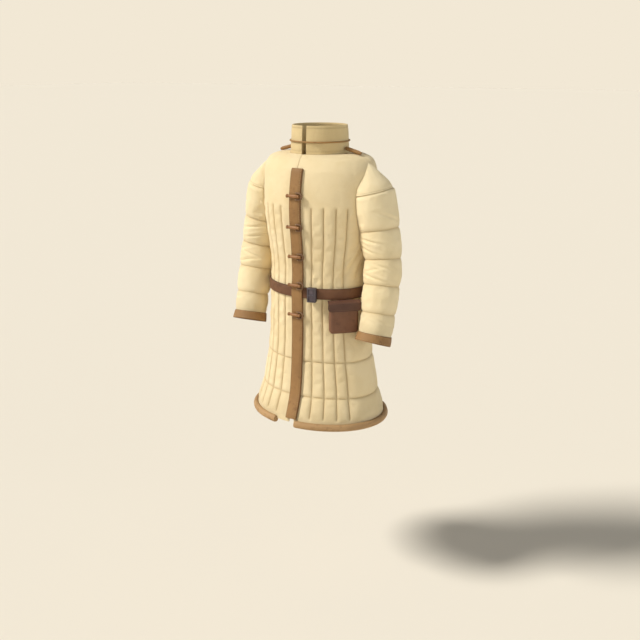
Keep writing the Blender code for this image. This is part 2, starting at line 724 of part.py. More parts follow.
def buckle():
    depth = BUCKLE_SIZE[1]
    bm = block(BUCKLE_SIZE, (0, -depth / 2, -BUCKLE_DROP))
    front = [edge for edge in bm.edges if all(vert.co.y < -depth / 2 for vert in edge.verts)]
    round_off(bm, front, BUCKLE_EDGE, 2)
    face = min(bm.faces, key=lambda candidate: candidate.calc_center_median().y)
    bmesh.ops.inset_region(bm, faces=[face], thickness=BUCKLE_RIM)
    bmesh.ops.translate(bm, verts=face.verts[:], vec=(0, BUCKLE_RECESS, 0))
    bmesh.ops.transform(bm, matrix=belt_seat(BUCKLE_ANGLE, BELT_OUTER + GAP), verts=bm.verts)
    finish("buckle", bm, IRON)


def pouch():
    """A stiff bag, open at the top."""
    depth, height = POUCH_SIZE[1:]
    middle = POUCH_TOP - BELT_HEIGHT - height / 2
    bm = block(POUCH_SIZE, (0, -depth / 2, middle))
    upright = [edge for edge in bm.edges
               if abs(edge.verts[0].co.z - edge.verts[1].co.z) > height / 2
               or max(vert.co.z for vert in edge.verts) < middle]
    round_off(bm, upright, POUCH_CORNER, 3)
    mouth = max(bm.faces, key=lambda face: face.calc_center_median().z)
    bmesh.ops.inset_region(bm, faces=[mouth], thickness=POUCH_LEATHER)
    hollow = bmesh.ops.extrude_face_region(bm, geom=[mouth])
    floor = [item for item in hollow["geom"] if isinstance(item, bmesh.types.BMVert)]
    bmesh.ops.delete(bm, geom=[mouth], context="FACES_ONLY")
    bmesh.ops.translate(bm, verts=floor, vec=(0, 0, POUCH_BASE - height))
    bmesh.ops.transform(bm, matrix=belt_seat(POUCH_ANGLE, POUCH_BACK), verts=bm.verts)
    finish("pouch_body", bm, BROWN_LEATHER)


def pouch_hanger():
    """The strap that goes up from the pouch's back and behind the belt."""
    _, depth, height = HANGER_SIZE
    bm = block(HANGER_SIZE, (0, -depth / 2, BELT_HALF_WIDTH + HANGER_ABOVE_BELT - height / 2))
    bmesh.ops.transform(bm, matrix=belt_seat(POUCH_ANGLE, HANGER_BACK), verts=bm.verts)
    finish("pouch_hanger", bm, BROWN_LEATHER)


def pouch_flap():
    """The flap: one piece of leather lying over the top of the pouch and down its front."""
    top = POUCH_TOP - BELT_HEIGHT + GAP
    low = top - FLAP_DROP
    inside = -POUCH_SIZE[1] - GAP
    outside = inside - FLAP_LEATHER
    outline = [(0.0, top), (inside, top), (inside, low), (outside, low), (outside, top + FLAP_FOLD),
               (inside, top + FLAP_LEATHER), (0.0, top + FLAP_RISE)]
    bm = bmesh.new()
    verts = [bm.verts.new((-FLAP_WIDTH / 2, y, z)) for y, z in outline]
    face = bm.faces.new(verts)
    carried = bmesh.ops.extrude_face_region(bm, geom=[face], use_keep_orig=True)
    far = [item for item in carried["geom"] if isinstance(item, bmesh.types.BMVert)]
    bmesh.ops.translate(bm, verts=far, vec=(FLAP_WIDTH, 0, 0))
    corners = [edge for edge in bm.edges
               if max(vert.co.z for vert in edge.verts) < low + FLAP_LEATHER / 2
               and abs(edge.verts[0].co.y - edge.verts[1].co.y) > FLAP_LEATHER / 2]
    round_off(bm, corners, POUCH_CORNER, 3)
    bmesh.ops.transform(bm, matrix=belt_seat(POUCH_ANGLE, POUCH_BACK), verts=bm.verts)
    finish("pouch_flap", bm, BROWN_LEATHER)


def build():
    for old in list(bpy.data.objects):
        bpy.data.objects.remove(old, do_unlink=True)
    body()
    for side in ("left", "right"):
        sleeve(side)
        cap(side)
        cuff(side)
    collar()
    collar_cord()
    shoulder_cord("left", 1)
    shoulder_cord("right", -1)
    placket()
    for number in range(TOGGLE_COUNT):
        toggle(number)
    hem_binding()
    belt()
    buckle()
    pouch()
    pouch_hanger()
    pouch_flap()


build()
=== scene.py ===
# %% [markdown]
# # A quilted gambeson, piece by piece
# A gambeson is a padded coat of linen. Two layers of cloth with carded padding between them are sewn
# together in upright channels, so the coat stands off the body in soft tubes. Leather binds the hem and
# the cuffs, covers the front opening and makes the belt and its pouch.
#
# The solid model gives the sizes and the places. Here each piece is made again as cloth, leather, wood
# or iron, and laid on the same surfaces.

# %% Load the solid model and note its box
from collections import namedtuple
from functools import cache
from math import asin, cos, degrees, exp, pi, radians, sin

import bmesh
import bpy
from mathutils import Matrix, Vector, noise


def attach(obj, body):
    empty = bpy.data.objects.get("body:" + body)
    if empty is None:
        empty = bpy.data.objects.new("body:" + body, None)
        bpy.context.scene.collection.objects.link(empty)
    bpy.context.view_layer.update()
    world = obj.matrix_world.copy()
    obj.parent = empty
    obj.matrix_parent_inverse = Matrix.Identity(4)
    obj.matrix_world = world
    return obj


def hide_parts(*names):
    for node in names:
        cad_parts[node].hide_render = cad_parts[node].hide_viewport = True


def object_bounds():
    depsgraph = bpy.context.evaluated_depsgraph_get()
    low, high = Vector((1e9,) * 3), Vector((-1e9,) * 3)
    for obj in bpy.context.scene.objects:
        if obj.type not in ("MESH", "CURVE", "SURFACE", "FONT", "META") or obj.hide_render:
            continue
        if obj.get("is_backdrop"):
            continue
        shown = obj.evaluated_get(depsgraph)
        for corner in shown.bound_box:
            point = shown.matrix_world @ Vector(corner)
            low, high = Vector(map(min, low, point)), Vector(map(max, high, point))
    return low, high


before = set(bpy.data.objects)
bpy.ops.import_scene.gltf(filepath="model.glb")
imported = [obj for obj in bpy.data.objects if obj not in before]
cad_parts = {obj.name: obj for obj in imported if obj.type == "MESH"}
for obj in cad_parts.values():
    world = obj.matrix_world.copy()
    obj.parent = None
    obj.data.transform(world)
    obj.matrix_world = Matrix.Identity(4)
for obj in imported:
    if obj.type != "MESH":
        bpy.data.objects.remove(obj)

solid_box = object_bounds()
print("solid nodes:", len(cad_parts))

# %% Small helpers
SIDES = {"left": 1.0, "right": -1.0}        # the wearer's sides, with the sign of x on each
pieces, loose = {}, []       # what replaces each node, and what only lies on it


def table(kind, *rows):
    return tuple(kind(*row) for row in rows)


def stand(name, data):
    """A new object in the scene."""
    made = bpy.data.objects.new(name, data)
    bpy.context.scene.collection.objects.link(made)
    return made


def rise(share):
    """0 to 1 with soft ends."""
    share = min(max(share, 0.0), 1.0)
    return share * share * (3 - 2 * share)


def bell(share):
    """1 at 0, and nearly 0 from 2 on."""
    return exp(-share ** 2)


def rough(size, x, y, z):
    """Smooth noise of a size."""
    return size * noise.noise(Vector((x, y, z)))


def halved(low, high, rounds, before):
    """The ends of a span, halved again and again round the place where before stops being true."""
    for _ in range(rounds):
        middle = (low + high) / 2
        low, high = (middle, high) if before(middle) else (low, middle)
    return low, high


# %% [markdown]
# ## Materials as sums
# A material is a sum of patterns: threads, stains, pores. Wrapping a node's output in a small class lets
# such a sum be written as one, and each line makes the nodes that it needs.

# %% A value in a material
class Value:
    """The output of a node, which can be added, multiplied and blended like a number."""

    def __init__(self, tree, socket):
        self.tree, self.socket = tree, socket

    def into(self, kind, inputs, out=0, **settings):
        """The output of a new node that reads this value and others."""
        made = self.tree.nodes.new("ShaderNode" + kind)
        for name, setting in settings.items():
            setattr(made, name, setting)
        for place, value in inputs.items():
            if isinstance(value, Value):
                self.tree.links.new(value.socket, made.inputs[place])
            else:
                made.inputs[place].default_value = value
        return Value(self.tree, made.outputs[out])

    def math(self, operation, other=0.0):
        return self.into("Math", {0: self, 1: other}, operation=operation)

    def __add__(self, other):
        return self.math("ADD", other)

    def __sub__(self, other):
        return self.math("SUBTRACT", other)

    def __mul__(self, other):
        return self.math("MULTIPLY", other)

    def step(self, low, high):
        """0 below low, 1 above high and a soft rise between them."""
        return self.into("MapRange", {0: self, 1: low, 2: high}, interpolation_type="SMOOTHSTEP")

    def axis(self, index):
        return self.into("SeparateXYZ", {0: self}, out=index)

    def stretch(self, x, y, z=1.0):
        return self.into("VectorMath", {0: self, 1: (x, y, z)}, operation="MULTIPLY")

    def noise(self, scale, detail=2.0, roughness=0.5):
        return self.into("TexNoise", {"Vector": self, "Scale": scale, "Detail": detail, "Roughness": roughness})

    def cells(self, scale):
        return self.into("TexVoronoi", {"Vector": self, "Scale": scale}, feature="DISTANCE_TO_EDGE")

    def mark(self, name):
        """A number painted on the mesh."""
        return self.into("Attribute", {}, out=2, attribute_name=name)

    def blend(self, first, second):
        """The first colour where this is 0 and the second where it is 1."""
        colours = [c if isinstance(c, Value) else (*c, 1.0) for c in (first, second)]
        return self.into("Mix", {0: self, 6: colours[0], 7: colours[1]}, out=2, data_type="RGBA")

    def bump(self, depth, under=None):
        """A surface raised by this value times depth, in metres, on another bump."""
        inputs = {"Height": self, "Distance": depth, "Strength": 1.0}
        return self.into("Bump", inputs | ({"Normal": under} if under else {}))


def start_material(name, **fixed):
    """A new material, and the flat and the solid coordinates that its patterns read."""
    made = bpy.data.materials.new(name)
    made.use_nodes = True
    tree = made.node_tree
    for socket, value in fixed.items():
        tree.nodes["Principled BSDF"].inputs[socket.replace("_", " ")].default_value = value
    reader = tree.nodes.new("ShaderNodeTexCoord")
    return made, Value(tree, reader.outputs["UV"]), Value(tree, reader.outputs["Object"])


def end_material(made, colour, height, roughness):
    tree = made.node_tree
    for socket, value in (("Base Color", colour), ("Normal", height), ("Roughness", roughness)):
        tree.links.new(value.socket, tree.nodes["Principled BSDF"].inputs[socket])
    return made


def shade(colour, share):
    return tuple(share * c for c in colour)


# %% [markdown]
# ## Camera, floor and light
# The coat hangs as it is worn, at the height of a standing person above a plain pale floor. One large
# soft light stands at the left and throws a soft shadow to the right. A weak light low at the right and a
# sky that is brighter low down than overhead fill the rest.

# %% Camera
CAMERA_PLACE = (1.634, -2.516, 0.2857)
CAMERA_DOWN = 16.35          # degrees below level
CAMERA_TURN = 33.0           # degrees round to the wearer's left
SENSOR_WIDTH, LENS = 36.0, 49.45

camera = stand("camera", bpy.data.cameras.new("camera"))
camera.data.sensor_width, camera.data.lens = SENSOR_WIDTH, LENS
camera.location = CAMERA_PLACE
camera.rotation_euler = (radians(90.0 - CAMERA_DOWN), 0.0, radians(CAMERA_TURN))
bpy.context.scene.camera = camera
bpy.context.scene.view_settings.view_transform = "Standard"

# %% Floor, light and sky
FLOOR_HEIGHT, FLOOR_REACH = -1.54, 60.0
FLOOR_COLOUR = (0.800, 0.738, 0.632, 1.0)
SKY_COLOUR = (0.888, 0.807, 0.665, 1.0)     # what the camera sees behind the floor
SKY_LIGHT = (1.0, 1.0, 0.97, 1.0)
SKY_AT_HORIZON, SKY_OVERHEAD = 0.80, 0.05
Lamp = namedtuple("Lamp", "name strength place angle colour")
LAMPS = table(
    Lamp,
    ("key", 3.45, (-0.529, -0.470, 0.707), 13.0, (1.0, 0.980, 0.940)),
    ("fill", 0.76, (0.97, -0.20, 0.10), 50.0, (0.84, 0.92, 1.0)),
)


def plain_floor():
    mesh = bpy.data.meshes.new("floor")
    corners = [(x * FLOOR_REACH, y * FLOOR_REACH, FLOOR_HEIGHT)
               for x, y in ((-1, -1), (1, -1), (1, 1), (-1, 1))]
    mesh.from_pydata(corners, [], [(0, 1, 2, 3)])
    paint, *_ = start_material("floor", Base_Color=FLOOR_COLOUR, Roughness=0.95, Specular_IOR_Level=0.0)
    mesh.materials.append(paint)
    floor = stand("floor", mesh)
    floor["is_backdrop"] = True


def studio_sky():
    """A sky that is brighter low down than overhead, and even where the camera sees it."""
    world = bpy.data.worlds.new("sky")
    world.use_nodes = True
    tree = world.node_tree
    height = Value(tree, tree.nodes.new("ShaderNodeTexCoord").outputs["Generated"]).axis(2)
    strength = height.into("MapRange", {"Value": height, "To Min": SKY_AT_HORIZON, "To Max": SKY_OVERHEAD})
    light = height.into("Background", {"Color": SKY_LIGHT, "Strength": strength})
    behind = height.into("Background", {"Color": SKY_COLOUR})
    seen = height.into("LightPath", {}, out="Is Camera Ray")
    either = height.into("MixShader", {0: seen, 1: light, 2: behind})
    tree.links.new(either.socket, tree.nodes["World Output"].inputs["Surface"])
    bpy.context.scene.world = world


plain_floor()
studio_sky()
for lamp in LAMPS:
    light = bpy.data.lights.new(lamp.name, "SUN")
    light.energy, light.angle, light.color = lamp.strength, radians(lamp.angle), lamp.colour
    stand(lamp.name, light).rotation_euler = Vector(lamp.place).to_track_quat("Z", "Y").to_euler()

# %% [markdown]
# ## Linen
# Heavy linen is plainly woven: each thread passes over one and under the next. Two crossed sine waves
# give that checker of small bumps. Hand-spun thread is uneven, so long thin noise runs along both
# directions. The cloth is painted darker in its seams and hollows as shade, and it is greyer towards the
# hem and the cuffs.

# %% Linen and thread
THREAD = 0.0011              # metres from one thread to the next


def linen(name, light, warm, deep):
    made, cloth, spot = start_material(name, Roughness=0.9, Sheen_Weight=0.12, Sheen_Roughness=0.5,
                                       Specular_IOR_Level=0.25)
    across, along = [(cloth.axis(index) * (pi / THREAD)).math("SINE") for index in (0, 1)]
    slubs = cloth.stretch(28, 620).noise(1.0) + cloth.stretch(620, 28).noise(1.0)
    blotches, crumple = spot.noise(9.0, 3.0, 0.6), spot.noise(75.0, 3.0, 0.55)
    ground = blotches.step(0.34, 0.68).blend(light, warm)
    threads = (slubs * 0.5).step(0.38, 0.64).blend(shade(light, 0.90), light)
    colour = ((slubs * 0.5).step(0.36, 0.66) * 0.45).blend(ground, threads)
    # Painted shade: seams and hollows are darkened towards the third colour.
    colour = (cloth.mark("seam") * 0.75).blend(colour, deep)
    soil = cloth.mark("soil") * (blotches.step(0.3, 0.7) * 0.5 + 0.5)
    height = (across * along).bump(0.00022, slubs.bump(0.00028, crumple.bump(0.0011)))
    return end_material(made, soil.blend(colour, shade(warm, 0.62)), height, blotches * 0.12 + 0.84)


def thread(name, light, dark):
    made, _, spot = start_material(name, Roughness=0.7, Specular_IOR_Level=0.3)
    twist = (spot.axis(0) * 2600.0 + spot.axis(2) * 3100.0).math("SINE")
    return end_material(made, spot.noise(60.0).step(0.3, 0.7).blend(dark, light), twist.bump(0.00015),
                        spot.noise(200.0) * 0.2 + 0.6)


# The third colour of each linen is the painted shade of its seams and hollows.
COAT_LINEN = linen("coat_linen", (0.825, 0.672, 0.410), (0.790, 0.624, 0.354), (0.55, 0.405, 0.210))
COLLAR_LINEN = linen("collar_linen_woven", (0.68, 0.530, 0.278), (0.63, 0.475, 0.240), (0.40, 0.280, 0.127))
SLEEVE_LINEN = linen("sleeve_linen", (0.870, 0.722, 0.452), (0.835, 0.674, 0.396), (0.60, 0.450, 0.243))
LINEN_THREAD = thread("linen_thread", (0.66, 0.50, 0.27), (0.50, 0.36, 0.18))
BROWN_THREAD = thread("brown_waxed_thread", (0.30, 0.185, 0.095), (0.21, 0.125, 0.060))
LEATHER_THREAD = thread("waxed_thread", (0.52, 0.37, 0.19), (0.36, 0.24, 0.11))

# %% [markdown]
# ## Leather, wood and iron
# Tanned hide has fine pores, shallow creases and a tone that wanders. Its cut edges are burnished dark,
# and its high places are rubbed lighter. Each strap carries a number that is 1 at its edges.

# %% Leather
def leather(name, light, mid, dark, gloss):
    made, _, spot = start_material(name, Roughness=gloss, Specular_IOR_Level=0.42)
    creases, fine = spot.noise(42.0, 4.0, 0.62), spot.noise(260.0, 3.0)
    pores = spot.cells(850.0).step(0.0, 0.14)
    colour = spot.noise(13.0, 4.0, 0.6).step(0.32, 0.68).blend(mid, light)
    colour = (creases.step(0.52, 0.72) * 0.55).blend(colour, dark)
    colour = (fine.step(0.55, 0.75) * 0.25).blend(colour, light)
    colour = (spot.mark("edge") * 0.7).blend(colour, dark)
    height = fine.bump(0.00014, pores.bump(0.00012, creases.bump(0.0009)))
    return end_material(made, colour, height, (creases * 0.25 + (fine * 0.12)) + (gloss - 0.18))


TAN_LEATHER = leather("tan_hide", (0.318, 0.168, 0.057), (0.266, 0.137, 0.046), (0.160, 0.076, 0.025), 0.64)
HEM_LEATHER = leather("pale_hide", (0.44, 0.264, 0.115), (0.380, 0.222, 0.093), (0.23, 0.124, 0.048), 0.62)
CORD_LEATHER = leather("pale_cord_hide", (0.355, 0.193, 0.062), (0.295, 0.157, 0.049), (0.175, 0.087, 0.027),
                       0.64)
LOOP_LEATHER = leather("cord_hide", (0.200, 0.105, 0.048), (0.160, 0.080, 0.035), (0.080, 0.036, 0.016), 0.60)
BELT_LEATHER = leather("belt_hide", (0.168, 0.070, 0.028), (0.132, 0.054, 0.022), (0.062, 0.025, 0.010), 0.66)
BROWN_LEATHER = leather("brown_hide", (0.194, 0.084, 0.041), (0.154, 0.065, 0.032), (0.071, 0.030, 0.015), 0.60)
DARK_LEATHER = leather("dark_hide", (0.110, 0.046, 0.026), (0.088, 0.036, 0.021), (0.042, 0.016, 0.009), 0.60)


# %% Wood and iron
def wood(name, light, dark):
    made, _, spot = start_material(name, Roughness=0.5, Specular_IOR_Level=0.4)
    grain = spot.stretch(60.0, 900.0, 900.0).noise(1.0, 3.0)
    colour = spot.stretch(25.0, 260.0, 260.0).noise(1.0, 3.0).step(0.35, 0.65).blend(dark, light)
    # The edge mark darkens the wood; on the pegs it lies in the two turned grooves.
    colour = (spot.mark("edge") * 0.6).blend(colour, shade(dark, 0.5))
    return end_material(made, colour, grain.bump(0.0002), grain * 0.2 + 0.42)


def iron(name, dull, bright):
    made, _, spot = start_material(name, Roughness=0.45, Metallic=0.85)
    scale, edge = spot.noise(60.0, 4.0, 0.6), spot.mark("edge")
    colour = (edge * 0.8).blend(scale.step(0.35, 0.68).blend(dull, shade(dull, 1.5)), bright)
    dents = spot.noise(190.0, 3.0, 0.55).bump(0.0007)
    return end_material(made, colour, dents, (scale * 0.3 + 0.32) - edge * 0.12)


PEG_WOOD = wood("toggle_wood", (0.335, 0.155, 0.053), (0.212, 0.089, 0.028))
BLACK_IRON = iron("black_iron", (0.115, 0.093, 0.106), (0.110, 0.100, 0.110))
print("materials:", len(bpy.data.materials))

# %% [markdown]
# ## The body's surface
# The trunk of the coat is one smooth surface. A table gives its half width and its depth at front and
# back for a row of heights, and a smooth curve joins the rows. An angle, 0 at the centre front and
# growing to the wearer's left, and a place up the table give any point on it.

# %% Sizes of the body
Level = namedtuple("Level", "height half_width front back")
TORSO = table(
    Level,
    (-0.9165, 0.2430, 0.1930, 0.1930),      # hem
    (-0.8865, 0.2370, 0.1820, 0.1825),
    (-0.8255, 0.2200, 0.1615, 0.1650),
    (-0.7665, 0.2085, 0.1530, 0.1570),
    (-0.7015, 0.1965, 0.1475, 0.1520),
    (-0.6365, 0.1895, 0.1440, 0.1480),
    (-0.5665, 0.1860, 0.1425, 0.1460),
    (-0.4965, 0.1835, 0.1430, 0.1450),
    (-0.4565, 0.1835, 0.1440, 0.1450),      # belt
    (-0.4115, 0.1805, 0.1400, 0.1440),
    (-0.3665, 0.1815, 0.1400, 0.1460),
    (-0.3165, 0.1895, 0.1430, 0.1500),      # underarm
    (-0.2565, 0.1985, 0.1490, 0.1560),
    (-0.1965, 0.2040, 0.1535, 0.1600),      # chest
    (-0.1365, 0.2064, 0.1525, 0.1600),
    (-0.0865, 0.2070, 0.1460, 0.1550),
    (-0.0565, 0.2055, 0.1395, 0.1490),
    (-0.0345, 0.1975, 0.1290, 0.1490),      # shoulder point
    (-0.0185, 0.1845, 0.1210, 0.1450),
    (-0.0110, 0.1660, 0.1130, 0.1360),
    (-0.0060, 0.1480, 0.1080, 0.1260),
    (-0.0040, 0.1240, 0.1050, 0.1130),
    (-0.0045, 0.0998, 0.0998, 0.0998),      # neck edge
)
LAST_STEEP_PLACE = 19        # above this row the body turns over towards the neck
SEAM_GAP = 0.0005            # clear space between two panels
BODY_WALL = 0.006            # padded cloth of the panels
CHANNELS = [17.2, 29.5, 41.8, 54.1, 143.1, 155.4, 167.7, 180.0]      # degrees from the centre front
CHANNEL_PITCH, CHANNEL_DEPTH = 12.3, 0.0042
CHANNEL_TOP, CHANNEL_BOTTOM = -0.1765, -0.8915
SKIRT_LINES = [-0.7015, -0.8255]
SKIRT_LINE_DEPTH = 0.0034


# %% Reading the tables
@cache
def between(rows, place):
    """The row of a table at a fractional place, on a smooth curve through its rows."""
    index = min(max(int(place), 0), len(rows) - 2)
    part = place - index
    near = [rows[max(index - 1, 0)], rows[index], rows[index + 1], rows[min(index + 2, len(rows) - 1)]]
    values = []
    for p0, p1, p2, p3 in zip(*near):
        curve = 2 * p0 - 5 * p1 + 4 * p2 - p3
        twist = 3 * p1 - p0 - 3 * p2 + p3
        values.append(p1 + 0.5 * part * (p2 - p0 + part * (curve + part * twist)))
    return type(rows[0])(*values)


@cache
def place_at(rows, height, last=None):
    """The place at which a table that climbs reaches a height."""
    top = float(len(rows) - 1 if last is None else last)
    return sum(halved(0.0, top, 30, lambda place: between(rows, place).height < height)) / 2


def body_place(height):
    return place_at(TORSO, height, LAST_STEEP_PLACE)


def near_place(height):
    return body_place(round(height, 5))


def skin(angle, place):
    """Point of the smooth outer cloth."""
    level = between(TORSO, place)
    depth = level.front if cos(angle) > 0 else level.back
    return Vector((level.half_width * sin(angle), -depth * cos(angle), level.height))


def skin_frame(angle, place):
    """Outward normal and upward direction of the smooth cloth at a point."""
    step = 0.001
    around = skin(angle + step, place) - skin(angle - step, place)
    up = skin(angle, place + step) - skin(angle, place - step)
    return around.cross(up).normalized(), up.normalized()


def torso(angle, place, out=0.0):
    return skin(angle, place) + skin_frame(angle, place)[0] * out


def from_front(angle):
    """Degrees from the centre front, either way round."""
    return abs((angle + 180.0) % 360.0 - 180.0)


# %% [markdown]
# ## The arms' surface
# A sleeve is a row of circles round an axis that hangs down and bends a little forwards. Where it meets
# the body it simply stops, a millimetre or so before the body's cloth.

# %% Sizes of the arms
ARM_FRAME_LOWEST = -0.592    # below this height the rings keep their slant
ARM_OVAL = 0.17              # at the armhole the arm is deeper by this share from front to back
OVAL_FROM, OVAL_FULL = -0.38, -0.14
Axis = namedtuple("Axis", "height across forward")
ARM_AXIS = table(
    Axis,
    (-0.6200, 0.2570, 0.0770), (-0.5865, 0.2596, 0.0622), (-0.5178, 0.2612, 0.0450),
    (-0.4269, 0.2588, 0.0226), (-0.3400, 0.2540, 0.0079), (-0.2449, 0.2350, 0.0030),
    (-0.1500, 0.2180, 0.0029), (-0.1206, 0.2110, 0.0048), (-0.0600, 0.1985, 0.0088),
    (-0.0230, 0.1840, 0.0112),
)
Girth = namedtuple("Girth", "height radius")
SLEEVE = table(
    Girth,
    (-0.6110, 0.0575), (-0.5865, 0.0545), (-0.5530, 0.0562), (-0.5178, 0.0560), (-0.4720, 0.0602),
    (-0.4269, 0.0600), (-0.3830, 0.0622), (-0.3400, 0.0605), (-0.2920, 0.0645), (-0.2449, 0.0645),
    (-0.1850, 0.0675), (-0.1250, 0.0642), (-0.1214, 0.0570), (-0.1013, 0.0515), (-0.0320, 0.0010),
)
CAP = table(Girth, (-0.1206, 0.0630), (-0.1013, 0.0585), (-0.0230, 0.0005))
CAP_INNER = table(Girth, (-0.1206, 0.0580), (-0.1013, 0.0538), (-0.0255, 0.0005))
CUFF_OUTER = table(Girth, (-0.6150, 0.0615), (-0.5865, 0.0578))
CUFF_INNER = table(Girth, (-0.6150, 0.0585), (-0.5865, 0.0549))
SLEEVE_RINGS = [-0.5178, -0.4269, -0.3400, -0.2449]
ARM_WALL = 0.005
SEAT_GAP, SEAT_STEP = 0.0014, 0.008
ARMHOLE_LAP = 0.003


# %% Points on the arms
def girth(rows, height):
    """Radius at a height, straight between the rows."""
    for lower, upper in zip(rows, rows[1:]):
        if height <= upper.height:
            break
    share = (height - lower.height) / (upper.height - lower.height)
    return lower.radius + share * (upper.radius - lower.radius)


def soft_girth(rows, height):
    """Radius at a height, on a smooth curve through the rows."""
    return between(rows, place_at(rows, height)).radius


@cache
def arm_centre(height):
    row = between(ARM_AXIS, place_at(ARM_AXIS, height))
    return Vector((row.across, -row.forward, row.height))


@cache
def arm_frame(height):
    """Directions out, forward and along the arm."""
    height = max(height, ARM_FRAME_LOWEST)
    along = (arm_centre(height + 0.002) - arm_centre(height - 0.002)).normalized()
    ahead = Vector((0, -1, 0))
    ahead = (ahead - along * along.dot(ahead)).normalized()
    return along.cross(ahead), ahead, along


def oval(height):
    """How many times deeper than wide the arm is."""
    return 1.0 + ARM_OVAL * rise((height - OVAL_FROM) / (OVAL_FULL - OVAL_FROM))


def arm(around, height, radius, side="left"):
    """Point at a radius round an arm; around is 0 outwards and 90 degrees forwards."""
    out, ahead, _ = arm_frame(height)
    point = arm_centre(height) + (out * cos(around) + ahead * sin(around) * oval(height)) * radius
    point.x *= SIDES[side]
    return point


def inside_torso(point, gap):
    level = between(TORSO, near_place(point.z))
    depth = (level.front if point.y < 0 else level.back) + gap
    return (point.x / (level.half_width + gap)) ** 2 + (point.y / depth) ** 2 < 1.0


def inside_arm(point, shrink):
    def below(height):
        return (point - arm_centre(height)).dot(arm_frame(height)[2]) > 0

    height, _ = halved(ARM_AXIS[0].height, ARM_AXIS[-1].height, 22, below)
    out, ahead, _ = arm_frame(height)
    off = point - arm_centre(height)
    return off.dot(out) ** 2 + (off.dot(ahead) / oval(height)) ** 2 < (girth(SLEEVE, height) - shrink) ** 2


@cache
def seat_height(around, rows, shrink=0.0):
    """Height at which one line up the arm meets the body."""
    def clear(height):
        return not inside_torso(arm(around, height, girth(rows, height) - shrink), SEAT_GAP)

    low, top = rows[0].height, rows[-1].height
    while low + SEAT_STEP < top and clear(low + SEAT_STEP):
        low += SEAT_STEP
    return halved(low, min(low + SEAT_STEP, top), 14, clear)[0]


# %% Where a panel ends
def armhole_angle(height, towards):
    """Angle of the armhole's edge at a height, on its front (-1) or its back (1) side."""
    def inside(turn):
        return inside_arm(torso(radians(90.0 + towards * turn), body_place(height)), ARMHOLE_LAP)

    return 90.0 + towards * halved(0.0, 45.0, 18, inside)[0]


def armhole_end(low, high):
    """Height between low and high at which the side of the body enters or leaves the sleeve."""
    def inside(height):
        return inside_arm(skin(pi / 2, body_place(height)), ARMHOLE_LAP)

    at_low = inside(low)
    return sum(halved(low, high, 20, lambda height: inside(height) == at_low)) / 2


UNDERARM = armhole_end(-0.40, -0.20)
ARMHOLE_TOP = armhole_end(-0.20, -0.035)
SIDE_SEAM, SEAM_DRIFT, SEAM_END = 92.0, 12.0, -0.50      # degrees, degrees and height
HEM_OPENING = {"left": 0.014, "right": 0.006}
OPENS_AT, OPENS_OVER = -0.8265, 0.09


def side_seam(height):
    """Under the arm the side seam is at the side, and lower down it has moved back."""
    return SIDE_SEAM + SEAM_DRIFT * rise((UNDERARM - height) / (UNDERARM - SEAM_END))


def outer_edge(height, place, towards):
    """Angle at which a panel ends on its outer side; towards is -1 for a front, 1 for the back."""
    if height < UNDERARM + 0.0001:
        angle = side_seam(height)
    elif height < ARMHOLE_TOP - 0.0001 and place <= LAST_STEEP_PLACE:
        return armhole_angle(height, towards)
    else:
        angle = 90.0
    return angle + towards * degrees(SEAM_GAP / 2 / between(TORSO, place).half_width)


def front_edge(height, place, side):
    """The fronts meet at the centre and part towards the hem."""
    share = min(max((OPENS_AT - height) / OPENS_OVER, 0.0), 1.0)
    return degrees(asin((0.0003 + HEM_OPENING[side] * share) / between(TORSO, place).half_width))


print("armhole from", round(UNDERARM, 4), "to", round(ARMHOLE_TOP, 4))

# %% [markdown]
# ## Padded cloth
# Each panel starts as a grid of points laid on the smooth surface and drawn in along the stitching, so
# that the cloth between two channels stands up as a tube. Then the padding is blown up with a short cloth
# simulation, in which the stitched points are pinned. The simulation gives the small puckers that run
# out from a seam, and no point may move more than a few millimetres. Last, the sheet is carried through
# to the inner face, so that it is a closed wall.

# %% Folds and hollows of the padding
def tube(distance, half_width):
    """How full the padding is at a distance from a stitched line: 0 on it, 1 in the middle."""
    return (1.0 - (1.0 - min(abs(distance) / half_width, 1.0)) ** 3) ** 0.62


Fold = namedtuple("Fold", "angle height lean length width depth")
BODY_FOLDS = table(
    Fold,
    (70, -0.345, 0.75, 0.085, 0.011, 0.0045),       # drag lines from the underarm
    (76, -0.385, 0.45, 0.060, 0.009, 0.0035),
    (-66, -0.335, -0.80, 0.080, 0.011, 0.0042),
    (-74, -0.378, -0.40, 0.065, 0.009, 0.0034),
    (24, -0.418, 0.10, 0.030, 0.008, 0.0030),       # cloth gathered over the belt
    (47, -0.424, -0.15, 0.026, 0.007, 0.0026),
    (-35, -0.420, 0.12, 0.032, 0.008, 0.0030),
    (-58, -0.426, -0.20, 0.026, 0.007, 0.0024),
    (35, -0.512, 0.05, 0.040, 0.009, 0.0028),       # and spread below it
    (81, -0.520, 0.22, 0.055, 0.011, 0.0036),
    (-24, -0.508, -0.06, 0.036, 0.008, 0.0026),
    (-47, -0.516, -0.12, 0.045, 0.010, 0.0030),
    (-80, -0.524, -0.25, 0.060, 0.011, 0.0034),
    (118, -0.350, -0.70, 0.090, 0.012, 0.0045),     # the back
    (126, -0.410, -0.35, 0.060, 0.010, 0.0034),
    (-121, -0.362, 0.65, 0.085, 0.012, 0.0042),
    (-113, -0.415, 0.30, 0.055, 0.009, 0.0030),
    (149, -0.420, 0.10, 0.034, 0.008, 0.0030),
    (174, -0.416, -0.08, 0.036, 0.009, 0.0032),
    (-161, -0.423, 0.12, 0.030, 0.008, 0.0028),
    (161, -0.514, -0.06, 0.042, 0.009, 0.0030),
    (-150, -0.511, 0.10, 0.040, 0.009, 0.0028),
    (110, -0.530, 0.20, 0.065, 0.012, 0.0036),
)


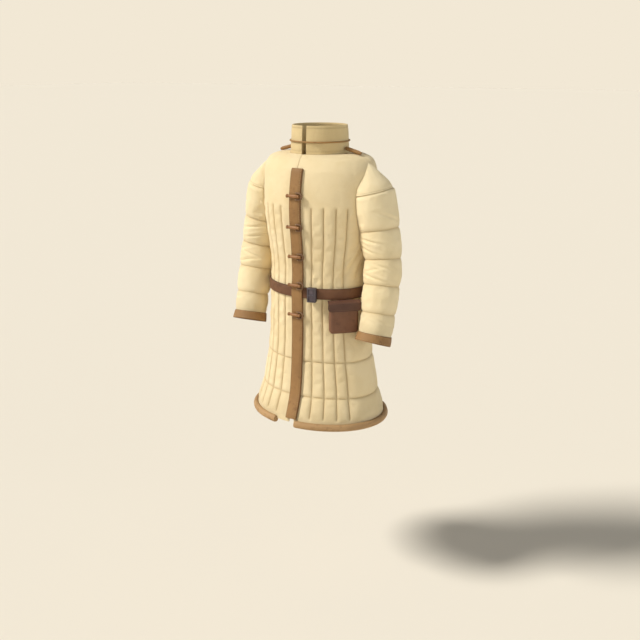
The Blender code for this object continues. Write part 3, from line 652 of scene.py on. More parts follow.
def creasing(folds, turn, height, radius):
    """How far the folds draw the cloth in at an angle in degrees and a height."""
    depth = 0.0
    for fold in folds:
        up = height - fold.height
        if abs(up) <= fold.length:
            across = radians((turn - fold.angle + 180.0) % 360.0 - 180.0) * radius - fold.lean * up
            off = abs(across) / fold.width
            if off < 3:
                depth += fold.depth * (bell(off) - 0.45 * bell(off - 1.9)) * rise(1.0 - abs(up) / fold.length)
    return depth


# %% A sheet laid on a table of points
def running(points):
    """Distances along a chain of points."""
    run = [0.0]
    for before, after in zip(points, points[1:]):
        run.append(run[-1] + (after - before).length)
    return run


def sheet(points, marks):
    """A bmesh grid laid on rows of points, with a UV in metres and a number for each mark."""
    rows, columns = len(points), len(points[0])
    bm = bmesh.new()
    bmesh.ops.create_grid(bm, x_segments=columns - 1, y_segments=rows - 1, size=0.5)
    layers = {name: bm.verts.layers.float.new(name) for name in marks}
    row_layer, column_layer = bm.verts.layers.int.new("row"), bm.verts.layers.int.new("column")
    uv = bm.loops.layers.uv.new("cloth")
    middle = columns // 2
    along = running([row[middle] for row in points])
    across = [[distance - run[middle] for distance in run] for run in map(running, points)]
    for vert in bm.verts:
        row, column = round((vert.co.y + 0.5) * (rows - 1)), round((vert.co.x + 0.5) * (columns - 1))
        vert[row_layer], vert[column_layer] = row, column
        for name, layer in layers.items():
            vert[layer] = marks[name][row][column]
        vert.co = points[row][column]
    for face in bm.faces:
        for loop in face.loops:
            row = loop.vert[row_layer]
            loop[uv].uv = (across[row][loop.vert[column_layer]], along[row])
    return bm, lambda vert, values: values[vert[row_layer]][vert[column_layer]]


def weld(bm):
    bmesh.ops.remove_doubles(bm, verts=bm.verts, dist=1e-6)


def carry_through(bm, inner, read):
    """Close a sheet into a wall whose other face lies on the inner points."""
    through = bmesh.ops.extrude_face_region(bm, geom=bm.faces[:], use_keep_orig=True)
    for item in through["geom"]:
        if isinstance(item, bmesh.types.BMVert):
            item.co = read(item, inner)


def finished(name, bm, paint, sharp=50.0):
    """One object from a bmesh, with its normals outwards."""
    bmesh.ops.recalc_face_normals(bm, faces=bm.faces)
    mesh = bpy.data.meshes.new(name)
    bm.to_mesh(mesh)
    bm.free()
    mesh.shade_smooth()
    mesh.set_sharp_from_angle(angle=radians(sharp))
    mesh.materials.append(paint)
    print(name, "faces", len(mesh.polygons))
    return stand(name, mesh)


# %% Blow up the padding
BLOW_FRAMES, EVEN_PASSES = 14, 3
CLOTH = {
    "quality": 4, "mass": 0.4, "air_damping": 4.0, "tension_stiffness": 12.0, "compression_stiffness": 12.0,
    "shear_stiffness": 6.0, "bending_stiffness": 0.6, "use_pressure": True, "uniform_pressure_force": 3.0,
    "vertex_group_mass": "pins", "vertex_group_pressure": "swell", "shrink_min": -0.018,
}


def blow_up(bm, pinned):
    """New places for the points of a sheet whose padding swells; pinned holds 0 to 1 a point."""
    mesh = bpy.data.meshes.new("padding")
    bm.to_mesh(mesh)
    trial = stand("padding", mesh)
    pins, swell = trial.vertex_groups.new(name="pins"), trial.vertex_groups.new(name="swell")
    for index, pin in enumerate(pinned):
        pins.add([index], pin, "REPLACE")
        swell.add([index], 1.0 - pin, "REPLACE")
    cloth = trial.modifiers.new("padding", "CLOTH")
    for name, setting in CLOTH.items():
        setattr(cloth.settings, name, setting)
    cloth.settings.effector_weights.gravity = 0.0
    cloth.point_cache.frame_start, cloth.point_cache.frame_end = 1, BLOW_FRAMES
    scene = bpy.context.scene
    for number in range(1, BLOW_FRAMES + 1):
        scene.frame_set(number)
    swollen = trial.evaluated_get(bpy.context.evaluated_depsgraph_get()).data
    places = [vert.co.copy() for vert in swollen.vertices]
    bpy.data.objects.remove(trial, do_unlink=True)
    scene.frame_set(1)
    return places


def evened(bm, moves):
    """The moves of the points, each averaged with those of its neighbours."""
    for _ in range(EVEN_PASSES):
        moves = [(moves[vert.index] + sum((moves[edge.other_vert(vert).index] for edge in vert.link_edges),
                                          Vector()) / len(vert.link_edges)) / 2 for vert in bm.verts]
    return moves


def padded_wall(name, spots, paint, most=0.0, ends=(), welded=False):
    """A padded panel from rows of (point, inner point, seam, soil, held).

    held is 0 to 1, a point that is not held may move by most, and the rows in ends are pinned.
    """
    # seam is how deep a point lies in a seam or hollow; the linen paints it darker as shade.
    points, inner, seam, soil, held = [[[spot[part] for spot in row] for row in spots] for part in range(5)]
    bm, read = sheet(points, {"seam": seam, "soil": soil})
    if welded:
        weld(bm)
    bm.verts.ensure_lookup_table()
    if most:
        limit = [[most * (1.0 - value) for value in row] for row in held]
        for row in ends:
            held[row] = [1.0] * len(held[row])
        places = blow_up(bm, [read(vert, held) for vert in bm.verts])
        moves = evened(bm, [place - vert.co for vert, place in zip(bm.verts, places)])
        for vert, move in zip(bm.verts, moves):
            if move.length > 1e-7:
                vert.co += move * min(1.0, read(vert, limit) / move.length)
    carry_through(bm, inner, read)
    return finished(name, bm, paint)


# %% Rows and columns of the panels
def filled(marks, step):
    """The marks, with evenly spaced values between them no further apart than step."""
    values = []
    for low, high in zip(marks, marks[1:]):
        count = max(1, round((high - low) / step + 0.3))
        values += [low + (high - low) * index / count for index in range(count)]
    return values + [marks[-1]]


def bunched(stops, counts):
    """Values that lie closer together near each of the stops."""
    values = []
    for low, high, count in zip(stops, stops[1:], counts):
        values += [low + (high - low) * (0.45 * index / count + 0.275 * (1.0 - cos(pi * index / count)))
                   for index in range(count)]
    return values + [stops[-1]]


ROW_STEP = 0.0042
ROW_MARKS = sorted([TORSO[0].height, CHANNEL_BOTTOM, CHANNEL_TOP, UNDERARM, ARMHOLE_TOP,
                    TORSO[LAST_STEEP_PLACE].height] + SKIRT_LINES)
BODY_PLACES = ([body_place(height) for height in filled(ROW_MARKS, ROW_STEP)]
               + [LAST_STEEP_PLACE + 0.375 * step for step in range(1, 9)])
BETWEEN_CHANNELS, OUTSIDE_CHANNELS = 12, 30      # columns
BELT_HEIGHT, BELT_HALF_WIDTH = -0.4590, 0.018
POUCH_ANGLE = 52.5


def front_columns(place, side):
    height = between(TORSO, place).height
    stops = [front_edge(height, place, side), *CHANNELS[:4], outer_edge(height, place, -1)]
    return bunched(stops, (15, *[BETWEEN_CHANNELS] * 3, OUTSIDE_CHANNELS))


def back_columns(place):
    edge = 180.0 - outer_edge(between(TORSO, place).height, place, 1)
    half = bunched([0.0, 12.3, 24.6, 36.9, edge], (*[BETWEEN_CHANNELS] * 3, OUTSIDE_CHANNELS))
    return [180.0 - angle for angle in reversed(half)] + [180.0 + angle for angle in half[1:]]


# %% How the padding stands at one point
TOP_FADE, BOTTOM_FADE, LINE_FADE = 0.012, 0.010, 0.020      # metres over which a stitched line's pull dies away
SEAM_FADE, SEAM_SHARE = 0.010, 0.35
BELT_FADE, PLACKET_HALF, PLACKET_FADE, EDGE_FADE = 0.022, 0.027, 0.012, 0.012
POUCH_SPAN, POUCH_FADE, POUCH_LOW, POUCH_HIGH = 6.0, 3.0, -0.62, -0.42       # degrees, and heights
HEM_FLAT = -0.908            # the hem binding holds the cloth flat below this height
FULLNESS, CHANNEL_FULLNESS = 0.0004, 0.0010
LEAST_HELD = 0.02


def padding(angle, place, edge):
    """(how far out the cloth stands, how deep it is in a seam, how firmly it is held)."""
    level = between(TORSO, place)
    turn, height = from_front(angle), level.height
    radius = (level.half_width + level.front) / 2
    nearest = min(CHANNELS, key=lambda channel: abs(turn - channel))
    pull = rise(1.0 - (height - CHANNEL_TOP) / TOP_FADE) * rise(1.0 - (CHANNEL_BOTTOM - height) / BOTTOM_FADE)
    full = 1.0 - (1.0 - tube(radians(turn - nearest) * radius, 0.5 * radians(CHANNEL_PITCH) * radius)) * pull
    line = min(abs(height - line) for line in SKIRT_LINES)
    full_line = 1.0 - (1.0 - tube(line, LINE_FADE)) * SKIRT_LINE_DEPTH / CHANNEL_DEPTH
    total = full * full_line * (1.0 - (1.0 - tube(edge, SEAM_FADE)) * SEAM_SHARE)
    press = rise((abs(height - BELT_HEIGHT) - BELT_HALF_WIDTH - 0.002) / BELT_FADE)
    if cos(radians(angle)) > 0:
        across = abs(level.half_width * sin(radians(angle)))
        press = min(press, rise((across - PLACKET_HALF) / PLACKET_FADE))
        if POUCH_LOW < height < POUCH_HIGH:
            press = min(press, rise((abs(angle - POUCH_ANGLE) - POUCH_SPAN) / POUCH_FADE))
    press = min(press, rise((height - HEM_FLAT) / EDGE_FADE), rise(edge / EDGE_FADE))
    swell = (FULLNESS + CHANNEL_FULLNESS * pull) * press * (1.0 + rough(0.6, angle * 0.06, height * 14.0, 3.0))
    out = -CHANNEL_DEPTH + (CHANNEL_DEPTH + swell) * total
    if place <= LAST_STEEP_PLACE:
        out -= creasing(BODY_FOLDS, angle, height, radius) * press
    out += rough(0.0007 * press, angle * 0.13, height * 34.0, 8.0)
    held = 1.0 - min(rise((total - 0.25) / 0.5), rise(press * 2.0)) * pull
    # The middle number becomes the seam mark, which the linen paints as shade.
    return out, 1.0 - total, max(held, LEAST_HELD)


# %% Cut the three panels
BODY_MOVE, SLEEVE_MOVE = 0.0030, 0.0024     # the most that blowing up may move a point
SOIL_FROM, SOIL_OVER, SOIL = -0.80, 0.12, 0.55


def body_panel(name, columns_at, sign):
    spots = []
    for place in BODY_PLACES:
        columns, level = columns_at(place), between(TORSO, place)
        soil = SOIL * rise((SOIL_FROM - level.height) / SOIL_OVER)
        row = []
        for angle in columns:
            at = radians(sign * angle)
            surface, (normal, _) = skin(at, place), skin_frame(at, place)
            edge = radians(min(angle - columns[0], columns[-1] - angle)) * level.half_width
            out, seam, held = padding(sign * angle, place, edge)
            row.append((surface + normal * out, surface - normal * BODY_WALL, seam, soil,
                        1.0 if edge < 1e-6 else held))
        spots.append(row)
    return padded_wall("cloth_" + name, spots, COAT_LINEN, most=BODY_MOVE, ends=(0, -1))


for side, sign in (("left", 1), ("right", -1)):
    pieces["front_" + side] = body_panel("front_" + side, lambda place: front_columns(place, side), sign)
pieces["back"] = body_panel("back", back_columns, 1)

# %% [markdown]
# ## Sleeves, shoulder caps and collar
# A sleeve is quilted in rings instead of channels, so its padding stands between rings like soft hoops. The
# inside of the elbow and the armpit crease, because the arm hangs a little bent. A cap is a small pointed
# roof of padded cloth over the shoulder, and its rim stands over the top of the sleeve.

# %% Sleeves
ARM_FOLDS = table(
    Fold,
    (86, -0.404, 4.0, 0.018, 0.0170, 0.0036),       # inside of the elbow
    (104, -0.378, -3.4, 0.016, 0.0150, 0.0032),
    (58, -0.366, 2.8, 0.018, 0.0125, 0.0028),
    (118, -0.300, 2.2, 0.030, 0.0100, 0.0038),      # towards the armpit
    (95, -0.275, 2.8, 0.026, 0.0115, 0.0032),
    (-112, -0.290, -2.4, 0.030, 0.0105, 0.0036),
    (-88, -0.262, -3.0, 0.024, 0.0120, 0.0030),
    (-70, -0.470, 3.5, 0.018, 0.0140, 0.0026),      # back of the forearm
    (40, -0.545, 3.0, 0.018, 0.0120, 0.0024),       # over the cuff
    (-35, -0.556, -2.6, 0.016, 0.0105, 0.0024),
    (20, -0.205, 2.0, 0.030, 0.0100, 0.0026),       # under the cap
)
FOLD_SHIFT = {"left": 0.0, "right": 7.0}        # degrees, so that the sleeves differ
SLEEVE_COLUMNS = 104
SLEEVE_MARKS = [-0.6110, -0.5865, -0.5178, -0.4269, -0.3400, -0.2449, -0.1250]
SLEEVE_HEAD = [-0.1214, -0.1101, -0.1013, -0.0900, -0.0800, -0.0700, -0.0600, -0.0500, -0.0400, -0.0320]
SLEEVE_ROWS = filled(SLEEVE_MARKS, ROW_STEP) + SLEEVE_HEAD
RING_DEPTH, RING_FADE, SLEEVE_FULLNESS = 0.0034, 0.034, 0.0009
CUFF_EDGE, CAP_EDGE, CAP_TUCK = -0.585, -0.124, -0.128       # heights at which cuff and cap hold the sleeve
SLEEVE_CURVE_END = -0.130    # straight between the rows of the table from here up
SEAT_FADE, SEAT_HOLD, ROW_PRESS = 0.020, 0.012, 0.0004
CUFF_SOIL_FROM, CUFF_SOIL_OVER, CUFF_SOIL = -0.50, 0.09, 0.6


def seated(end):
    """Row heights of one line up a sleeve, pressed together below the height at which it must end."""
    last = len(SLEEVE_ROWS) - 1
    return [min(height, end - ROW_PRESS * (last - index)) for index, height in enumerate(SLEEVE_ROWS)]


def sleeve_padding(turn, height, end):
    """(how far out the cloth stands, how deep it is in a seam, how firmly it is held)."""
    full = 1.0 - (1.0 - tube(min(abs(height - level) for level in SLEEVE_RINGS), RING_FADE)) * 0.9
    press = min(rise((end - height) / SEAT_FADE), rise((height - CUFF_EDGE) / 0.012),
                rise((CAP_EDGE - height) / 0.008))
    swell = SLEEVE_FULLNESS * press * (1.0 + rough(0.8, turn * 0.02, height * 16.0, 21.0))
    out = -RING_DEPTH + (RING_DEPTH + swell) * full
    out -= creasing(ARM_FOLDS, turn, height, girth(SLEEVE, min(height, CAP_EDGE - 0.002))) * press
    out += rough(0.0006 * press, turn * 0.05, height * 42.0, 5.0)
    held = 1.0 - min(rise((full - 0.2) / 0.5), rise(press * 1.6))
    # The middle number becomes the seam mark, which the linen paints as shade.
    return out, 1.0 - full, max(held, LEAST_HELD)


def sleeve(side):
    lines = []
    for column in range(SLEEVE_COLUMNS + 1):
        turn = 360.0 * column / SLEEVE_COLUMNS - 180.0
        at = radians(turn)
        end, end_inner = seat_height(at, SLEEVE), seat_height(at, SLEEVE, ARM_WALL)
        line = []
        for height, height_inner in zip(seated(end), seated(end_inner)):
            out, seam, held = sleeve_padding(turn + FOLD_SHIFT[side], height, end)
            radius = (soft_girth if height < SLEEVE_CURVE_END else girth)(SLEEVE, height)
            point = arm(at, height, radius + (out if height < CAP_EDGE else 0.0), side)
            inside = arm(at, height_inner, girth(SLEEVE, height_inner) - ARM_WALL, side)
            if height > CAP_TUCK or end - height < SEAT_HOLD or height == SLEEVE_ROWS[0]:
                held = 1.0
            soil = CUFF_SOIL * rise((CUFF_SOIL_FROM - height) / CUFF_SOIL_OVER)
            line.append((point, inside, seam, soil, held))
        lines.append(line)
    return padded_wall("cloth_sleeve_" + side, list(zip(*lines)), SLEEVE_LINEN, most=SLEEVE_MOVE, welded=True)


for side in SIDES:
    pieces["sleeve_" + side] = sleeve(side)

# %% Shoulder caps
CAP_COLUMNS, CAP_ROWS, CAP_CORNER = 56, 30, 0.3     # the corner lies at this share of the rows
CAP_SEAM = 0.0045            # from the rim up to its row of stitches


@cache
def cap_reach():
    """Degrees to which the cap's rim is clear of the body on the front and on the back of the arm."""
    reach = []
    for sign in (-1, 1):
        turn = 60.0
        while turn < 140.0 and not any(
                inside_torso(arm(radians(sign * (turn + 1.0)), rows[0].height, rows[0].radius), SEAT_GAP)
                for rows in (CAP, CAP_INNER)):
            turn += 1.0
        reach.append(sign * turn)
    return reach


def cap_height(rows, top, share):
    """Height at a share of the way from the rim of a cap over its corner to its top."""
    rim = rows[0].height
    corner = min(rows[1].height, (rim + top) / 2)
    if share < CAP_CORNER:
        return rim + (corner - rim) * share / CAP_CORNER
    return corner + (top - corner) * (share - CAP_CORNER) / (1.0 - CAP_CORNER)


def cap(side):
    first, last = cap_reach()
    spots = []
    for row in range(CAP_ROWS + 1):
        line = []
        for column in range(CAP_COLUMNS + 1):
            at = radians(first + (last - first) * column / CAP_COLUMNS)
            end = seat_height(at, CAP)
            height = cap_height(CAP, end, row / CAP_ROWS)
            height_inner = cap_height(CAP_INNER, seat_height(at, CAP_INNER), row / CAP_ROWS)
            rim = height - CAP[0].height
            hollow = (1.0 - tube(rim - CAP_SEAM, 0.006)) * 0.45
            press = min(rise((end - height) / 0.014), rise(rim / 0.004))
            soft = rough(0.0009 * press, at * 3.0, height * 40.0, 9.0 + SIDES[side])
            bend = -0.0013 * press * bell((height - CAP[1].height) / 0.004)
            # hollow, the dip along the cap's row of stitches, goes in as the seam mark and is painted darker as
            # shade.
            line.append((arm(at, height, girth(CAP, height) - 0.0012 * hollow + soft + bend, side),
                         arm(at, height_inner, girth(CAP_INNER, height_inner), side), hollow * 0.9, 0.0, 1.0))
        spots.append(line)
    return padded_wall("cloth_cap_" + side, spots, SLEEVE_LINEN, welded=True)


for side in SIDES:
    pieces["cap_" + side] = cap(side)

# %% [markdown]
# ## A section carried along a path
# The collar, the bindings, the straps and the cords all have one section from end to end. The section is
# a closed ring of points, and a grid is laid through the rings, so that its last column meets its first.

# %% Loft
def loft(name, rings, paint, closed=False, sharp=50.0, **marks):
    """A skin over rings of points; each mark is a number for each point of a ring."""
    rows = rings + rings[:1] if closed else rings
    marks = marks or {"edge": [0.0] * len(rings[0])}
    bm, _ = sheet([ring + ring[:1] for ring in rows],
                  {mark: [values + values[:1]] * len(rows) for mark, values in marks.items()})
    weld(bm)
    if not closed:
        bmesh.ops.holes_fill(bm, edges=[edge for edge in bm.edges if edge.is_boundary])
    return finished(name, bm, paint, sharp)


def arc(centre, radius, start, end, steps):
    """Points of an arc in a section, from one angle to another in degrees."""
    turns = [radians(start + (end - start) * step / steps) for step in range(steps + 1)]
    return [(centre[0] + radius * cos(turn), centre[1] + radius * sin(turn)) for turn in turns]


def strap(low, high, inner, outer, corner, crease, dip):
    """Section of a leather strap as (across, out), with rounded corners and a pressed line at each edge."""
    half, small = 0.0007, 0.0006        # half the width of a pressed line, and the inner corners

    def pressed(middle):
        return [(middle + half, outer), (middle, outer - dip), (middle - half, outer)]

    wide = high - low - 2 * crease - 2 * half
    section = arc((high - corner, outer - corner), corner, 0, 90, 3) + pressed(high - crease)
    section += [(high - crease - half - wide * step / 6, outer) for step in range(1, 6)]
    section += pressed(low + crease) + arc((low + corner, outer - corner), corner, 90, 180, 3)
    section += arc((low + small, inner + small), small, 180, 270, 1)
    section += [(low + (high - low) * step / 4, inner) for step in range(1, 4)]
    section += arc((high - small, inner + small), small, 270, 360, 1)
    return section, [bell(min(across - low, high - across) / 0.0016) for across, _ in section]


# %% Collar
COLLAR = table(Girth, (-0.0100, 0.0979), (0.0355, 0.0964), (0.0870, 0.0935))
COLLAR_SLIT = asin(0.0088 / COLLAR[0].radius)       # from the centre front to an edge
COLLAR_WALL, COLLAR_COLUMNS, COLLAR_ROWS = 0.005, 132, 26
COLLAR_SEAMS = (0.016, 0.007)       # up from the foot and down from the top


def on_neck(radius, angle, height):
    return Vector((radius * sin(angle), -radius * cos(angle), height))


def collar():
    foot, top = COLLAR[0].height, COLLAR[2].height
    heights = [foot + (top - foot) * step / COLLAR_ROWS for step in range(COLLAR_ROWS + 1)]
    radii = {height: soft_girth(COLLAR, height) for height in heights}
    stitched = [min(abs(top - height - COLLAR_SEAMS[1]), abs(height - foot - COLLAR_SEAMS[0]))
                for height in heights]
    rings = []
    for column in range(COLLAR_COLUMNS + 1):
        angle = COLLAR_SLIT + (2 * pi - 2 * COLLAR_SLIT) * column / COLLAR_COLUMNS
        ring = []
        for height, seam in zip(heights, stitched):
            swell = 0.0005 - 0.0014 * (1.0 - tube(seam, 0.009)) + rough(0.0009, angle * 2.4, height * 30.0, 4.0)
            lip = 0.0016 * (1.0 - rise((top - height) / 0.003))
            ring.append(on_neck(radii[height] + swell - lip, angle, height))
        for height in reversed(heights):
            lip = 0.0013 * (1.0 - rise((top - height) / 0.003))
            ring.append(on_neck(radii[height] - COLLAR_WALL + lip, angle, height))
        rings.append(ring)
    # The seam mark is 1 on the collar's recessed rows of stitches, where the linen paints shade.
    seam = [1.0 - tube(distance, 0.006) for distance in stitched + stitched[::-1]]
    return loft("cloth_collar", rings, COLLAR_LINEN, seam=seam, soil=[0.0] * len(seam))


pieces["collar"] = collar()

# %% [markdown]
# ## Leather on the front
# The opening of the coat is covered by one long strip of tan leather. Five turned pegs lie across it, and
# a loop of dark leather cord on the wearer's left holds each peg.

# %% Placket
PLACKET_LEFT, PLACKET_RIGHT = 0.025, -0.0165
PLACKET_TOP, PLACKET_BOTTOM = -0.0480, -0.9050
PLACKET_INNER, PLACKET_OUTER = 0.0006, 0.0095
PLACKET_OVER_BELT, PLACKET_CREASE = 0.0060, 0.0042


def front_point(across, place, out):
    """Point over the centre front at a distance across it."""
    return torso(asin(across / between(TORSO, place).half_width), place, out)


def placket():
    thick = PLACKET_OUTER - PLACKET_INNER
    section, worn = strap(PLACKET_RIGHT, PLACKET_LEFT, 0.0, thick,
                          corner=0.0024, crease=PLACKET_CREASE, dip=0.0006)
    rings = []
    for height in filled([PLACKET_BOTTOM, PLACKET_TOP], 0.0055):
        place = body_place(height)
        lift = (PLACKET_OVER_BELT - PLACKET_INNER) * rise(1.6 - abs(height - BELT_HEIGHT) / 0.0145)
        wave = rough(0.0006, 0.0, height * 16.0, 1.0)
        end = 0.0016 * (1.0 - rise(min(height - PLACKET_BOTTOM, PLACKET_TOP - height) / 0.004))
        ring = []
        for across, out in section:
            share = out / thick
            ripple = rough(0.0004, across * 40.0, height * 30.0, 2.0) - end
            ring.append(front_point(across + wave, place,
                                    PLACKET_INNER + lift + (thick - lift + ripple) * share))
        rings.append(ring)
    return loft("leather_placket", rings, TAN_LEATHER, edge=worn)


pieces["placket"] = placket()

# %% [markdown]
# ## Pegs and loops
# A peg is turned on a lathe: its outline is spun once round its axis. A loop is a cord bent into an arch
# with both ends sewn down beside the placket.

# %% Pegs
TOGGLE_COUNT, FIRST_TOGGLE, TOGGLE_PITCH, TOGGLE_DRIFT = 5, -0.1345, 0.1007, -0.0010
PEG_RIGHT, PEG_RADIUS = -0.0225, 0.0062
Turned = namedtuple("Turned", "along radius worn")
# worn is 1 on the two turned grooves, which the wood material makes darker.
PEG_PROFILE = table(
    Turned,
    (0.0000, 0.0000, 0), (0.0000, 0.0028, 0), (0.0005, 0.0046, 0), (0.0016, 0.0060, 0), (0.0030, 0.0062, 0),
    (0.0058, 0.0061, 0), (0.0070, 0.0055, 0), (0.0079, 0.0046, 1), (0.0090, 0.0050, 0), (0.0120, 0.0053, 0),
    (0.0220, 0.0055, 0), (0.0340, 0.0057, 0), (0.0428, 0.0058, 0), (0.0437, 0.0052, 1), (0.0446, 0.0057, 0),
    (0.0480, 0.0056, 0), (0.0498, 0.0049, 0), (0.0505, 0.0032, 0), (0.0505, 0.0000, 0),
)


def peg(number):
    place = body_place(FIRST_TOGGLE - number * TOGGLE_PITCH)
    centre = front_point(0.0, place, PLACKET_OUTER + 0.0003) + skin_frame(0.0, place)[0] * PEG_RADIUS
    bm = bmesh.new()
    edge = bm.verts.layers.float.new("edge")
    verts = []
    for turned in PEG_PROFILE:
        verts.append(bm.verts.new((PEG_RIGHT + number * TOGGLE_DRIFT + turned.along, 0.0, turned.radius)))
        verts[-1][edge] = turned.worn
    edges = [bm.edges.new(pair) for pair in zip(verts, verts[1:])]
    bmesh.ops.spin(bm, geom=verts + edges, cent=(0, 0, 0), axis=(1, 0, 0), angle=2 * pi, steps=20,
                   use_merge=True)
    weld(bm)
    tilt = Matrix.Rotation(radians(1.2 * sin(number * 2.1)), 4, "Y")
    bm.transform(Matrix.Translation(centre) @ tilt)
    return finished("wood_peg_%d" % (number + 1), bm, PEG_WOOD, sharp=35.0)


for number in range(TOGGLE_COUNT):
    pieces["toggle_%d" % (number + 1)] = peg(number)

# %% Cords
LOOP_START, LOOP_BIGHT = 0.0106, 0.0331      # across, from the loop's cut ends to its bend
LOOP_HALF, LOOP_CORD, LOOP_GAP = 0.0103, 0.0034, 0.0008


def cord(name, points, radius, paint, closed=False, sides=12, knots=None):
    """A round cord along a chain of points; knots gives the thickness at each point if it varies."""
    rings, side, count = [], None, len(points)
    for index, point in enumerate(points):
        before = points[index - 1] if index or closed else point
        after = points[(index + 1) % count] if index < count - 1 or closed else point
        along = (after - before).normalized()
        side = side or along.orthogonal().normalized()
        side = (side - along * along.dot(side)).normalized()
        other = along.cross(side)
        thick = radius * (knots[index] if knots else 1.0)
        turns = [2 * pi * step / sides for step in range(sides)]
        rings.append([point + (side * cos(turn) + other * sin(turn)) * thick for turn in turns])
    return loft(name, rings, paint, closed)


def loop(number):
    """A doubled-over cord that lies on the placket, with its two cut ends sewn down."""
    height, shift = FIRST_TOGGLE - number * TOGGLE_PITCH, number * TOGGLE_DRIFT
    bend = LOOP_BIGHT - LOOP_HALF
    straight = [LOOP_START + (bend - LOOP_START) * step / 6 for step in range(6)]
    path = [(across, LOOP_HALF) for across in straight]
    path += [(bend + LOOP_HALF * sin(pi * step / 20), LOOP_HALF * cos(pi * step / 20)) for step in range(21)]
    path += [(across, -LOOP_HALF) for across in reversed(straight)]
    points, thick = [], []
    for index, (across, up) in enumerate(path):
        end = min(index, len(path) - 1 - index)
        points.append(front_point(across + shift, near_place(height + up),
                                  PLACKET_OUTER + LOOP_GAP + LOOP_CORD))
        thick.append(min(1.0, 0.80 + 0.10 * end) * (0.95 + rough(0.08, index * 0.5, number, 0.0)))
    return cord("leather_loop_%d" % (number + 1), points, LOOP_CORD, LOOP_LEATHER, knots=thick)


for number in range(TOGGLE_COUNT):
    pieces["loop_%d" % (number + 1)] = loop(number)

COLLAR_CORD_HEIGHT, COLLAR_CORD_RADIUS, COLLAR_CORD_STEPS = 0.0350, 0.0026, 120
SHOULDER_CORD_START, SHOULDER_CORD_END, SHOULDER_CORD_RADIUS = (0.1015, 0.0, 0.0135), 0.158, 0.0065
CORD_GAP = 0.0006


def collar_cord():
    radius = girth(COLLAR, COLLAR_CORD_HEIGHT) + COLLAR_CORD_RADIUS + CORD_GAP
    points = []
    for step in range(COLLAR_CORD_STEPS):
        turn = 2 * pi * step / COLLAR_CORD_STEPS
        sway = rough(0.0006, 3 * sin(turn), 3 * cos(turn), 1.0)
        points.append(on_neck(radius, turn, COLLAR_CORD_HEIGHT + sway))
    return cord("leather_collar_cord", points, COLLAR_CORD_RADIUS, CORD_LEATHER, closed=True, sides=10)


def shoulder_cord(side):
    place, _ = halved(LAST_STEEP_PLACE - 1.0, len(TORSO) - 1.0, 26,
                      lambda place: between(TORSO, place).half_width > SHOULDER_CORD_END)
    first, last = Vector(SHOULDER_CORD_START), torso(pi / 2, place, SHOULDER_CORD_RADIUS + CORD_GAP)
    points = [first.lerp(last, step / 14) * Vector((SIDES[side], 1.0, 1.0)) for step in range(15)]
    thick = [min(1.0, 0.72 + 0.14 * min(step, 14 - step)) for step in range(15)]
    return cord("leather_shoulder_cord_" + side, points, SHOULDER_CORD_RADIUS, TAN_LEATHER, sides=16,
                knots=thick)


pieces["collar_cord"] = collar_cord()
for side in SIDES:
    pieces["shoulder_cord_" + side] = shoulder_cord(side)

# %% [markdown]
# ## Bindings
# A binding is a strip of leather folded over the raw edge of the cloth and sewn through. At the hem it
# stands off as a round rim, and at each cuff it is a flat band.

# %% Cuffs
CUFF_COLUMNS, CUFF_OUTSIDE, CUFF_INSIDE = 96, 12, 6


def cuff(side):
    low, high = CUFF_OUTER[0].height, CUFF_OUTER[1].height
    section = [(low + (high - low) * step / CUFF_OUTSIDE, 1.0) for step in range(CUFF_OUTSIDE + 1)]
    section += [(high - (high - low) * step / CUFF_INSIDE, 0.0) for step in range(CUFF_INSIDE + 1)]
    rings = []
    for column in range(CUFF_COLUMNS):
        turn = 2 * pi * column / CUFF_COLUMNS
        ring = []
        for height, share in section:
            near = min(height - low, high - height)
            lip = 1.0 - rise(near / 0.0022)
            outer = girth(CUFF_OUTER, height) - 0.0012 * lip - 0.0005 * bell((near - 0.0050) / 0.0008)
            outer += rough(0.0006, turn * 2.0, height * 60.0, 11.0 + SIDES[side])
            inner = girth(CUFF_INNER, height) + 0.0006 * lip
            ring.append(arm(turn, height, inner + (outer - inner) * share, side))
        rings.append(ring)
    worn = [bell(min(height - low, high - height) / 0.0018) for height, _ in section]
    return loft("leather_cuff_" + side, rings, TAN_LEATHER, closed=True, edge=worn)


for side in SIDES:
    pieces["cuff_" + side] = cuff(side)

# %% Hem binding
HEM_GAP_LEFT, HEM_GAP_RIGHT = 5.3, -14.3     # degrees
BINDING_OUTSIDE = [
    (0.0006, 0.0075), (0.0030, 0.0086), (0.0058, 0.0088), (0.0090, 0.0080), (0.0118, 0.0056), (0.0136, 0.0022),
    (0.0141, -0.0020), (0.0139, -0.0066), (0.0124, -0.0108), (0.0098, -0.0140), (0.0062, -0.0153),
    (0.0020, -0.0156), (-0.0022, -0.0150), (-0.0058, -0.0128), (-0.0082, -0.0092), (-0.0091, -0.0040),
    (-0.0093, 0.0010), (-0.0092, 0.0052)]
BINDING_SLOT = [(-0.0080, 0.0062), (-0.0067, 0.0058), (-0.0067, -0.0006), (0.0006, -0.0006)]
BINDING_MIDDLE = (0.0023, -0.0035)


